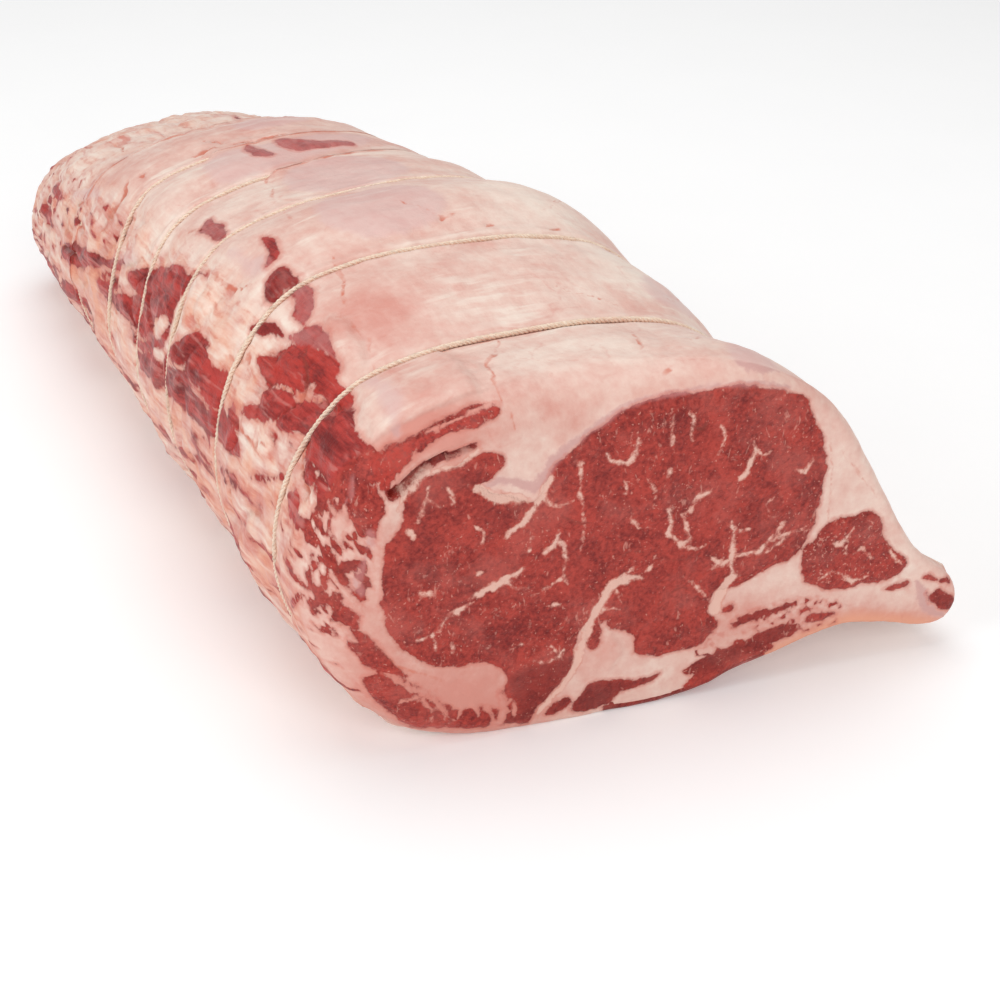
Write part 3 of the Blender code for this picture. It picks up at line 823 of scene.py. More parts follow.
    def features(self) -> list[Feature]:
        """Everything that shows on the cut, in the order in which it is laid down."""
        made: list[Feature] = [Patch(Tissue.LEAN, line, 0.5, 2.0) for line in self.lean + self.strips]
        for outline in self.strips[:2]:
            made.append(Scraps(Tissue.FAT, outline, sparse=0.72, size=3.0, drawn=2.0, seed=57))
        for outline in self.deep_strips:
            made += [Patch(Tissue.LEAN, outline), Patch(Tissue.DARK, outline)]
        made += [Patch(Tissue.FRESH, outline) for outline in self.strips[:1]]
        made += [Scraps(Tissue.LEAN, *scrap, seed=60 + k) for k, scrap in enumerate(self.scraps)]
        made += [Patch(Tissue.DARK, outline) for outline in self.gloom]
        made += [Strand(Tissue.FAT, line, 0.5) for line in self.curls]
        made.append(Strand(Tissue.LEAN, self.slab_edge, -1.4, 0.9))
        made += [Strand(Tissue.SEAM, line, -0.25, 0.8) for line in self.seams]
        made += [Strand(Tissue.MEMBRANE, line, 0.2) for line in self.silverskin]
        # Creases: shallow grooves, also coloured darker as painted shade.
        made += [Strand(Tissue.CREASE, line, -0.8) for line in self.shaded_creases]
        # The slit is pushed back into the cut and also painted dark red: painted shade in the recess.
        slit = tuple((x, z, half + 0.9) for x, z, half in self.slit)
        made += [Strand(tissue, slit) for tissue in (Tissue.LEAN, Tissue.DARK)]
        return made

    def read(self, points: Array) -> Reading:
        """Reads the cut at points of its map, with edges that wander a little."""
        moved = points + wander(points, 5.0, (3, 4), 3)
        return Reading.of(moved, self.features(), self.blots, self.plain_blush)


@dataclass
class Skin:
    """The outside: a fat cap over the top and right, bared muscle on the left, ribs underneath.

    Its map is the distance from the cut face, and the way round from the crown.
    """

    lobes: tuple[Points, ...] = (
        ((96, -82), (92, -76), (86, -69), (79, -64), (67, -60), (60, -59), (55, -61), (58, -65),
         (62, -72), (72, -78), (79, -81), (86, -83)),
        ((84, -85), (76, -82), (65, -77), (65, -82), (68, -89), (78, -95), (88, -97), (86, -93),
         (80, -89)),
        ((61, -76), (53, -71), (44, -71), (46, -78), (55, -85), (64, -89), (67, -87), (65, -81)),
        ((60, -71), (58, -64), (46, -60), (38, -61), (37, -66), (43, -69), (54, -69.5)),
        ((49, -73), (42, -66), (35, -62), (22, -63), (8, -61), (-2, -61), (-2, -80), (8, -80),
         (16, -82), (30, -83), (38, -86), (50, -82)),
    )
    ovals: tuple[Points, ...] = (
        ((118, -63), (123, -57), (121, -53), (113, -51.5), (108, -53), (109, -58), (109, -63),
         (110, -66), (114, -66)),
        ((109, -77), (109, -74), (103, -70), (92, -67), (91, -69), (97, -73), (104, -76)),
    )
    veiled: tuple[Points, ...] = (
        ((109, -58), (106, -53), (102, -51), (91, -55), (86, -60), (94, -61), (98, -58)),
        ((90, -68), (84, -60), (76, -56), (70, -57), (62, -59), (70, -61), (80, -64)),
        ((150, -50), (145, -47), (136, -49), (129, -51), (126, -58), (130, -57), (135, -53),
         (143, -52)), ((199, -57), (202, -50), (188, -51), (178, -53), (178, -57), (187, -58)),
    )
    bands: tuple[Points, ...] = (
        ((242, -91), (234, -85), (218, -80), (193, -73), (181, -75), (170, -76), (178, -82),
         (181, -87), (180, -95), (182, -102), (199, -109), (226, -115), (234, -108), (240, -98)),
        ((180, -107), (158, -99), (146, -91), (134, -89), (126, -92), (120, -95), (109, -98),
         (102, -102), (90, -103), (78, -107), (91, -112), (109, -115), (115, -120), (121, -117),
         (151, -116), (178, -121), (180, -113)),
        ((283, -105), (260, -99), (240, -98), (234, -107), (242, -109), (276, -114)),
        ((220, -115), (190, -110), (180, -113), (180, -120), (194, -121), (216, -120)),
        ((348, -104), (330, -99), (300, -97), (270, -94), (250, -86), (262, -96), (290, -103),
         (320, -110), (344, -110)), ((360, -80), (380, -75), (395, -74), (392, -80), (376, -82)),
        ((370, -98), (390, -100), (410, -92), (398, -88), (384, -92)),
        ((326, -86), (335, -88), (330, -92)),
        ((325, -124), (345, -122), (352, -130), (340, -138), (328, -132)),
    )
    streaks: tuple[Points, ...] = (
        ((10, -83, 0.6), (20, -84, 1.0), (27, -85, 0.5)),
        ((160, -71, 0.5), (170, -73, 1.0), (178, -74, 0.6)),
        ((60, -115, 0.6), (80, -118, 1.2), (105, -120, 0.6)),
        ((72, -127, 0.5), (82, -128, 1.0), (90, -128, 0.5)),
        ((112, -125, 0.5), (130, -130, 1.4), (150, -134, 0.6)),
        ((54, -100, 0.8), (60, -104, 1.4), (70, -110, 0.7)),
        ((338, 29, 0.6), (350, 33, 1.6), (362, 38, 1.4), (372, 43, 0.6)),
        ((160, -140, 0.5), (190, -143, 1.2), (215, -140, 0.6)),
        ((30, -128, 0.6), (44, -134, 1.2), (58, -140, 0.6)),
        ((220, -135, 0.5), (250, -138, 1.3), (280, -134, 0.6)),
        ((14, -118, 0.8), (22, -124, 1.6), (30, -132, 0.8)),
        ((20, -150, 0.8), (34, -158, 1.4), (52, -160, 0.6)),
        ((90, -150, 0.6), (120, -156, 1.5), (146, -154, 0.6)),
        ((290, -140, 0.5), (310, -146, 1.2), (330, -150, 0.6)),
        ((380, -120, 0.6), (400, -124, 1.3), (420, -118, 0.6)),
    )
    scraps: tuple[tuple[Points, float, float, float], ...] = (
        (((12, -104), (40, -106), (70, -110), (100, -118), (200, -124), (330, -122), (430, -100),
         (446, -140), (330, -168), (150, -184), (12, -180)), 0.46, 4.6, 7.0),
        (((40, -86), (60, -96), (96, -104), (126, -97), (132, -88), (112, -92), (90, -99),
         (72, -96), (62, -90)), 0.4, 5.0, 1.6),
        (((10, -82), (36, -84), (54, -98), (44, -108), (10, -106)), 0.28, 6.0, 2.0),
        (((326, -70), (336, -112), (400, -108), (452, -90), (456, -20), (420, -36), (360, -60)),
         0.6, 6.0, 1.2),
        (((300, -128), (330, -124), (380, -118), (440, -110), (450, -150), (380, -156),
         (310, -150)), 0.12, 4.6, 3.0),
        (((244, -84), (280, -92), (300, -88), (330, -80), (300, -74), (262, -78)), 0.5, 4.0, 1.5),
    )
    bared: tuple[Points, ...] = (
        ((236, 38), (243, 38), (247, 32), (248, 24), (255, 20), (263, 14), (262, 9), (250, 8),
         (240, 10), (237, 18), (236, 28)),
        ((240, -1), (250, -3), (264, -3), (262, -7), (252, -10), (242, -8)),
    )
    islands: tuple[Points, ...] = (
        ((186, -96, 3.0), (194, -99, 4.5), (202, -101, 2.5)),
        ((226, -92, 0.6), (246, -100, 1.2), (262, -106, 0.6)),
        ((270, -104, 0.5), (292, -108, 1.3), (312, -108, 0.6)),
        ((140, -101, 0.7), (156, -103, 1.6), (172, -102, 0.7)),
        ((108, -106, 0.6), (122, -106, 1.2), (134, -104, 0.5)),
        ((208, -108, 0.5), (222, -110, 1.2), (240, -110, 0.5)),
    )
    # Grooves that are also painted darker: painted shade. Each point is distance, way round and half
    # width.
    shaded_creases: tuple[Points, ...] = (
        ((7, -20, 0.3), (19, -19, 0.6), (28, -18, 0.6), (34, -12, 0.5), (48, -6, 0.3)),
        ((121, 15, 0.3), (121, 8, 0.8), (126, 7, 0.5), (134, 3, 0.4), (142, -1, 0.2)),
        ((114, 22, 0.8), (114, 25, 0.9)), ((112, 47, 0.8), (112, 51, 1.0)),
        ((102, 15, 0.7), (102, 17.5, 0.7)), ((103, 2, 0.5), (103, 3, 0.5)),
        ((76, 19, 0.2), (67, 28, 0.4), (62, 37, 0.5), (58, 42, 0.6), (54, 46, 0.4)),
        ((36, 38, 0.3), (28, 35, 0.6), (19, 32, 0.3)),
        ((22, 52, 0.3), (30, 60, 0.5), (34, 70, 0.3)),
        ((66, 68, 0.3), (76, 80, 0.5), (82, 92, 0.3)),
        ((150, -36, 0.3), (160, -34, 0.6), (172, -31, 0.4)),
        ((190, -26, 0.3), (200, -22, 0.6), (210, -18, 0.6), (222, -15, 0.4)),
        ((289, -60, 0.8), (285, -64, 1.4), (283, -70, 2.0), (286, -76, 2.0), (290, -81, 1.6),
         (291, -87, 0.8)), ((286, -57, 0.8), (284, -53.5, 2.2), (281, -50, 0.6)),
        ((278, -28, 0.8), (278, -21, 2.0), (275, -14, 0.9)),
        ((354, 9, 0.8), (345, 7.5, 1.4), (336, 7, 0.6)),
        ((382, -12, 0.6), (380, -5, 1.4), (378, 2, 0.6)),
        ((290, -16, 0.5), (284, -12.5, 1.1), (279, -11, 0.5)),
        ((206, -61, 0.6), (200, -57, 1.0), (196, -54, 0.6)),
        ((114, -89, 0.4), (100, -85, 0.8), (103, -82, 0.5)),
        ((86, -83, 0.6), (73, -80, 0.9), (61, -74, 0.9), (38, -64, 0.5)),
        ((79, -64, 0.3), (64, -70, 0.7), (61, -75, 0.8), (67, -87, 0.5)),
        ((328, -78, 1.0), (337, -80, 1.2)), ((316, -90, 1.2), (331, -86, 1.4)),
        ((318, -104, 1.3), (346, -104, 1.5)), ((278, -95, 1.0), (287, -97, 1.0)),
        ((80, -46, 0.4), (100, -41, 0.7), (115, -36, 0.4)),
        ((271, 20, 0.7), (272, 8, 1.5), (272, 0, 1.3), (274, -7, 0.6)),
        ((272, -26, 0.4), (278, -20, 0.6)), ((8, 34, 0.8), (8.4, 36, 0.8)),
        ((50, -50, 0.4), (62, -46, 0.6), (78, -50, 0.4)),
        ((126, -66, 0.5), (140, -72, 0.9), (158, -70, 0.5)),
        ((60, -94, 0.5), (74, -100, 0.9), (92, -101, 0.5)),
        ((14, -88, 0.5), (30, -90, 0.9), (46, -86, 0.5)),
        ((130, 60, 0.3), (142, 74, 0.6), (150, 92, 0.4)),
        ((180, 84, 0.3), (196, 76, 0.6), (210, 80, 0.4)),
        ((236, 100, 0.3), (246, 112, 0.6), (258, 110, 0.4)),
        ((88, 110, 0.3), (96, 126, 0.6), (92, 142, 0.4)),
        ((20, 96, 0.3), (30, 112, 0.6), (38, 120, 0.4)),
        ((300, 60, 0.3), (312, 76, 0.7), (318, 96, 0.4)),
        ((350, 60, 0.4), (372, 70, 0.8), (398, 66, 0.4)),
        ((345, -40, 0.4), (366, -34, 0.9), (392, -38, 0.4)),
        ((340, 2, 0.4), (360, 8, 0.8), (384, 2, 0.4)),
        ((400, -70, 0.5), (418, -60, 1.0), (430, -44, 0.5)),
    )
    veils: tuple[Points, ...] = (
        ((118, -22), (128, -30), (146, -30), (164, -20), (168, -4), (160, 12), (144, 18), (126, 14),
         (116, -2)),
        ((176, 2), (188, -14), (206, -14), (220, -4), (222, 20), (214, 36), (198, 40), (182, 32)),
        ((60, 64), (70, 60), (82, 66), (84, 78), (74, 84), (62, 78)),
        ((4, 58), (18, 60), (26, 68), (20, 76), (4, 74)),
        ((128, -60), (146, -64), (160, -62), (158, -58), (140, -58), (130, -56)),
        ((236, 40), (250, 36), (262, 42), (260, 52), (246, 54)),
        ((8, -54), (30, -54), (46, -56), (44, -50), (20, -46)),
        ((284, 10), (304, 4), (318, 18), (312, 40), (292, 44)),
        ((350, -75), (336, -69), (310, -68), (308, -74), (331, -77)),
        ((228, -30), (244, -34), (262, -30), (264, -12), (262, 20), (262, 40), (246, 44), (234, 40),
         (228, 10)), ((140, -64), (142, -58), (136, -54), (127, -55), (124, -60), (130, -64)),
        ((274, -97), (270, -90), (242, -81), (242, -87)),
    )
    flaps: tuple[Points, ...] = (
        ((0, -59), (8, -60), (26, -61), (38, -60), (48, -59), (50, -40), (44, -26), (24, -24),
         (6, -26), (-4, -40)),
        ((52, -58), (60, -60), (72, -58), (82, -54), (80, -50), (66, -48), (54, -50)),
    )
    blots: Points = (
        (20, -40, 26, 18, 0.30), (20, 20, 30, 34, -0.08), (75, -4, 24, 34, 0.10),
        (76, -40, 26, 20, 0.36), (140, -5, 26, 26, 0.24), (205, 12, 24, 28, 0.20),
        (248, 20, 22, 36, 0.34), (300, 20, 22, 40, 0.30), (300, -50, 30, 26, 0.10),
        (360, 20, 36, 46, 0.06), (40, -130, 46, 24, 0.34), (90, 60, 22, 26, -0.2),
        (140, 50, 24, 26, -0.25), (60, 20, 12, 30, -0.04), (420, -40, 40, 60, 0.2),
        (300, -110, 60, 30, 0.3), (140, -140, 60, 20, 0.22), (8, 60, 16, 40, 0.10),
    )
    plain_blush: float = 0.42

    def features(self) -> list[Feature]:
        """Everything that shows on the skin, in the order in which it is laid down."""
        made: list[Feature] = [Patch(Tissue.FAT, outline, 1.6, 3.0) for outline in self.flaps]
        made += [Patch(Tissue.LEAN, outline, 2.0, 6.0) for outline in self.lobes + self.ovals]
        low = self.veiled + self.bands + self.bared
        made += [Patch(Tissue.LEAN, outline, 0.8, 6.0) for outline in low]
        made += [Patch(Tissue.DARK, outline) for outline in self.ovals]
        made += [Patch(Tissue.FRESH, self.lobes[k]) for k in (0, 3)]
        made += [Patch(Tissue.MEMBRANE, outline) for outline in self.veiled[:2] + self.veiled[3:]]
        made.append(Strand(Tissue.DARK, ((174, -56, 0.6), (182, -56, 2.0), (190, -58, 1.0))))
        made += [Strand(Tissue.LEAN, line) for line in self.streaks]
        made += [Scraps(Tissue.LEAN, *scrap, seed=80 + k) for k, scrap in enumerate(self.scraps)]
        made += [Strand(Tissue.FAT, line, 0.4) for line in self.islands]
        # Creases: grooves, also coloured darker as painted shade.
        made += [Strand(Tissue.CREASE, line, -1.8, 1.2) for line in self.shaded_creases]
        made += [Patch(Tissue.MEMBRANE, outline, 0.3) for outline in self.veils]
        return made

    def read(self, points: Array) -> Reading:
        """Reads the skin at points of its map, with edges that wander."""
        moved = points + 2.2 * wander(points, 9.0, (7, 8), 3)
        reading = Reading.of(moved, self.features(), self.blots, self.plain_blush)
        left = eased((-points[:, 1] - 62) / 20) * eased((points[:, 1] + 200) / 30)
        reading.blush += 0.12 * left
        for loop, _ in RoastForm.loops:  # a thin line of painted shade in front of each loop of twine
            beside = 0.5 - np.abs(points[:, 0] - loop + 1.9) + 1.1 * lumps(points, 9.0, 45, 3)
            reading.depths[Tissue.CREASE] = np.maximum(reading.depths[Tissue.CREASE], beside)
        return reading


# ------------------------------------------------------------------------- finishes


@dataclass(frozen=True)
class MeatFinish:
    """Wet muscle, fat, silverskin and the borders between them, told apart by the mesh's attributes."""

    lean_dark: Colour = from_srgb(118, 20, 16)
    lean_light: Colour = from_srgb(182, 62, 50)
    lean_hazy: Colour = from_srgb(192, 104, 94)
    deep: Colour = from_srgb(104, 18, 15)
    fresh: Colour = from_srgb(190, 54, 42)
    fat_pale: Colour = from_srgb(244, 226, 212)
    fat_pink: Colour = from_srgb(214, 144, 130)
    fat_peach: Colour = from_srgb(232, 164, 134)
    skin_dark: Colour = from_srgb(116, 22, 20)
    skin_light: Colour = from_srgb(186, 60, 53)
    film: Colour = from_srgb(226, 160, 150)
    marble: Colour = from_srgb(216, 148, 132)
    vein: Colour = from_srgb(232, 188, 172)
    veil: Colour = from_srgb(220, 184, 180)
    bruise: Colour = from_srgb(190, 118, 114)
    # Painted shade in creases and in front of the twine: first on fat, then on muscle.
    crease: Colour = from_srgb(208, 112, 88)
    lean_crease_shade: Colour = from_srgb(140, 52, 42)
    rim: Colour = from_srgb(208, 112, 96)
    silver: Colour = from_srgb(206, 156, 150)
    # the colour of the painted highlight on the fat's folds
    shine: Colour = from_srgb(246, 236, 222)

    def material(self) -> bpy.types.Material:
        """The finish of the meat."""
        f = Finish("raw_beef")
        blush, streaky = f.attribute("blush"), f.attribute("streaky")
        on_cut = f.attribute("cut").step(0.2, 0.8)
        on_skin = 1 - on_cut
        drawn_out = f.stretched(f.warped(2.5, 18.0), (1.0, 0.12, 1.0))
        streak = f.noise(4.4, 4.0, 0.6, at=drawn_out, seed=21)
        fibre = f.noise(1.9, 3.0, 0.6, at=f.stretched(f.place, (1.0, 0.14, 1.0)))
        grain = f.noise(1.5, 3.0, 0.6)
        grain = fibre + (grain - fibre) * on_cut
        drawn = (fibre - 0.5) + (streak - 0.5) * (streaky * 2.6 + 1.4)
        ragged = (f.noise(3.2, 4.0, 0.62) - 0.5) * (2.8 - on_skin * 0.6)
        edge = f.attribute("lean") + ragged + drawn * on_skin
        across = f.stretched(f.warped(4.0, 26.0), (0.16, 1.0, 0.3))
        folds = f.noise(7.0, 4.0, 0.55, at=across, seed=28)
        muscle = (edge * (on_cut * 0.4 + 0.8)).step(-0.4, 0.5)
        fat = self._fat(f, blush, streak, streaky, on_cut, folds)
        colour = f.blend(muscle, fat, self._lean(f, grain, streak, on_cut))
        colour = f.blend(self._marbling(f) * muscle * on_cut, colour, self.marble)
        seam = f.attribute("seam") + (f.noise(3.4, 3.0, 0.68, seed=16) - 0.5) * 3.4 - 0.1
        broken = f.noise(6.0, 2.0, seed=17).step(0.35, 0.6) * 0.6 + 0.35
        colour = f.blend(seam.step(-0.5, 0.3) * broken, colour, self.marble)
        colour = f.blend(seam.step(0.0, 0.7) * 0.9, colour, self.vein)
        rim = (edge * (on_cut * 0.4 + 0.6)).step(-1.5, -0.1) * (1 - muscle) * 0.5
        colour = f.blend(rim * (1 - seam.step(-0.7, 0.5)), colour, self.rim)
        # Painted shade along the creases and in front of each loop of twine, broken up by noise.
        line = (f.attribute("crease") + (f.noise(2.0, 3.0, seed=3) - 0.5) * 1.1).step(-0.5, 0.5)
        faded = f.noise(13.0, 3.0, 0.6, seed=29).step(0.36, 0.6) * 0.5 + 0.35
        colour = f.blend(line * faded.most(muscle), colour, f.blend(muscle, self.crease, self.lean_crease_shade))
        pits = f.noise(0.9, 2.0, 0.6, seed=4)
        soft = f.noise(5.5, 4.0, 0.6, seed=5)
        height = grain * (muscle * 0.38 + 0.05) + pits * (muscle * 0.14 + 0.05) + soft * 0.4
        height = height + streak * on_skin * (streaky * 0.5 + 0.1) + folds * on_skin * 0.7
        wet = f.noise(9.0, 2.0, seed=9)
        return f.surface(
            {
                "Base Color": colour,
                "Roughness": wet.step(0.3, 0.7) * 0.16 + 0.36 + (1 - muscle) * 0.05,
                "Normal": f.bump(height, 1.0),
                "Specular IOR Level": 0.3,
                "Coat Weight": 0.06,
                "Coat Roughness": 0.2,
            }
        )

    def _marbling(self, f: Finish) -> Wire:
        """Short strokes and specks of fat in the muscle: 1 in one of them, 0 between."""
        place = f.noise(17.0, 2.0, seed=6)
        here = (place - 0.5) * 0.24
        upright = f.stretched(f.warped(3.0, 12.0), (1.0, 1.0, 0.36))
        strokes = f.noise(1.6, 2.0, 0.5, at=upright, seed=25) + here
        specks = f.noise(1.1, 1.0, seed=8) + here + f.attribute("speckled") * 0.06
        fine = f.noise(3.0, 3.5, 0.66, seed=27).step(0.6, 0.72) * place.step(0.4, 0.6)
        marks = (strokes.step(0.64, 0.78) * 0.6).most(specks.step(0.67, 0.79) * 0.65)
        return marks.most(fine * 0.45)

    def _lean(self, f: Finish, grain: Wire, streak: Wire, on_cut: Wire) -> Wire:
        """Colour of the muscle, by its grain and by how fresh, deep or veiled it is."""
        on_skin = 1 - on_cut
        broad = f.noise(14.0, 4.0, 0.6, seed=1)
        bundles = f.cells(3.4, "F1", f.stretched(f.warped(1.6, 6.0), (1.0, 0.3, 0.8)), "Color")
        share = (grain - 0.5) * 1.6 + (broad - 0.5) * 1.2 + 0.56
        share = share + (streak - 0.5) * 1.5 * on_skin + (bundles - 0.5) * 0.3 * on_cut
        dark = f.blend(on_cut, self.skin_dark, self.lean_dark)
        colour = f.blend(share.step(0.0, 1.0), dark, f.blend(on_cut, self.skin_light, self.lean_light))
        hazy = f.noise(17.0, 4.0, 0.6, seed=22).step(0.46, 0.68) * 0.3
        colour = f.blend(hazy * on_cut, colour, self.lean_hazy)
        tilted = f.node(
            "ShaderNodeVectorRotate",
            {"rotation_type": "Y_AXIS"},
            {"Vector": f.place, "Angle": 0.5},
            "Vector",
        )
        nicks = f.noise(2.0, 2.0, 0.5, at=f.stretched(tilted, (0.45, 1.0, 1.5)), seed=23)
        nicks = nicks + (broad - 0.5) * -0.2
        colour = f.blend(nicks.step(0.58, 0.72) * 0.4, colour, self.deep)
        along = f.stretched(f.warped(3.0, 30.0), (1.0, 0.06, 1.0))
        filmy = f.noise(3.0, 2.0, 0.5, at=along, seed=24).step(0.58, 0.68)
        milky = f.noise(9.0, 3.0, 0.6, at=f.stretched(f.place, (1.0, 0.4, 1.0)), seed=33)
        threads = filmy.most(milky.step(0.56, 0.72) * 0.7)
        colour = f.blend(threads * on_skin * 0.3, colour, self.film)
        fresh = f.attribute("fresh").step(-0.6, 0.8) * grain.step(0.3, 0.6)
        colour = f.blend(fresh * 0.45, colour, self.fresh)
        colour = f.blend(f.attribute("dark").step(-2.0, 2.0) * 0.5, colour, self.deep)
        veiled = f.attribute("membrane") + (f.noise(4.0, 3.0, seed=2) - 0.5) * (on_skin * 3.5 + 0.9)
        patchy = f.noise(5.0, 3.0, 0.6, seed=30).step(0.3, 0.65) * 0.35 + 0.35
        return f.blend(veiled.step(-0.9, 0.9) * patchy.most(on_cut * 0.85), colour, self.bruise)

    def _fat(
        self, f: Finish, blush: Wire, streak: Wire, streaky: Wire, on_cut: Wire, folds: Wire
    ) -> Wire:
        """Colour of the fat: cream to pink, with membranes, streaks, painted highlights on its folds, and
        veins over it.

        Args:
            f: the finish it belongs to.
            blush: how pink the fat is, from 0 to 1.
            streak: noise drawn out along the roast.
            streaky: how much of the streaks shows.
            on_cut: 1 on the cut face.
            folds: noise drawn out round the roast.

        Returns:
            The colour.
        """
        cloudy = f.noise(22.0, 5.0, 0.6, seed=12)
        mottled = f.noise(3.6, 3.0, 0.6, seed=13)
        peachy = streaky * f.noise(12.0, 3.0, seed=26).step(0.35, 0.6).most(on_cut)
        streaky = streaky * (1 - on_cut)
        share = blush + peachy * on_cut * 0.5 + (cloudy - 0.5) * 1.1 + (mottled - 0.5) * 0.35
        share = share + (streak - 0.5) * (streaky * 1.6 + 0.3)
        pink = f.blend(peachy * 0.85, self.fat_pink, self.fat_peach)
        colour = f.blend(share.step(-0.1, 1.1), self.fat_pale, pink)
        # Painted highlight: near-white on the crests of the folds, standing in for sheen.
        fold_highlight = f.noise(34.0, 3.0, seed=31).step(0.4, 0.62) * folds.step(0.5, 0.66)
        colour = f.blend(fold_highlight * (1 - on_cut) * (1 - streaky) * 0.55, colour, self.shine)
        flushed = (streak + (mottled - 0.5) * 0.3).step(0.55, 0.7) * streaky
        colour = f.blend(flushed * 0.5, colour, self.rim)
        vein_gap = 19.0
        veins = f.cells(vein_gap, "DISTANCE_TO_EDGE", f.warped(5.0, 12.0)) * vein_gap
        here = f.noise(26.0, 2.0, seed=14).step(0.45, 0.62)
        faint = veins.step(0.8, 0.0) * here * mottled.step(0.35, 0.65)
        colour = f.blend(faint * 0.2, colour, self.rim)
        film = f.attribute("membrane")
        veiled = (film + (f.noise(6.0, 3.0, seed=15) - 0.5) * 5.0).step(-1.5, 3.5)
        colour = f.blend(veiled * 0.55, colour, self.veil)
        silvery = (film + (f.noise(2.2, 3.0, 0.65, seed=32) - 0.5) * 3.4).step(-0.5, 1.0)
        return f.blend(silvery * on_cut * 0.75, colour, self.silver)


@dataclass(frozen=True)
class TwineFinish:
    """Undyed cotton: cream plies with painted shade in the grooves of the fibres, and a little meat
    juice.
    """

    pale: Colour = from_srgb(252, 234, 214)
    # the colour of the painted shade in the fibres' grooves
    shade: Colour = from_srgb(224, 188, 162)
    stain: Colour = from_srgb(206, 140, 116)

    def material(self) -> bpy.types.Material:
        """The finish of the twine."""
        f = Finish("cotton_twine")
        turn, run = f.attribute("turn"), f.attribute("run")
        fibres = f.node("ShaderNodeCombineXYZ", {}, {0: turn * 9.0, 1: run * 0.8, 2: 0.0}, "Vector")
        strands = f.noise(1.0, 3.0, 0.6, at=fibres)
        # Painted shade: darker where the fibres' bump is low, in the grooves.
        colour = f.blend(strands.step(0.25, 0.7), self.shade, self.pale)
        colour = f.blend(f.noise(9.0, 3.0, seed=3).step(0.5, 0.8) * 0.35, colour, self.stain)
        normal = f.bump(strands, 0.25)
        return f.surface(
            {"Base Color": colour, "Roughness": 0.86, "Normal": normal, "Sheen Weight": 0.15}
        )


@dataclass(frozen=True)
class FloorFinish:
    """A pale, matt sweep of paper."""

    colour: Colour = (0.97, 0.97, 0.97)
    dimmer: float = 0.985  # what the colour is multiplied by where the paper is darkest
    glow: float = 0.1

    def material(self) -> bpy.types.Material:
        """The finish of the floor."""
        f = Finish("pale_paper")
        shade = f.noise(60.0, 2.0).step(0.0, 1.0)
        colour = f.blend(shade, self.colour, tuple(self.dimmer * c for c in self.colour))
        return f.surface(
            {
                "Base Color": colour,
                "Roughness": 0.9,
                "Emission Color": (1.0, 1.0, 1.0),
                "Emission Strength": self.glow,
            }
        )


# ------------------------------------------------------------------------- the pieces


def mesh_piece(
    name: str, points: Array, faces: list[Sequence[int]], material: bpy.types.Material
) -> bpy.types.Object:
    """A smooth mesh object at the origin, with its faces turned as given.

    Args:
        name: the piece's name.
        points: its vertices in metres.
        faces: its faces, all turned the same way round.
        material: its finish.

    Returns:
        The object, in the scene.
    """
    mesh = bpy.data.meshes.new(name)
    mesh.from_pydata([tuple(p) for p in points], [], faces)
    mesh.materials.append(material)
    mesh.shade_smooth()
    made = bpy.data.objects.new(name, mesh)
    bpy.context.scene.collection.objects.link(made)
    return made


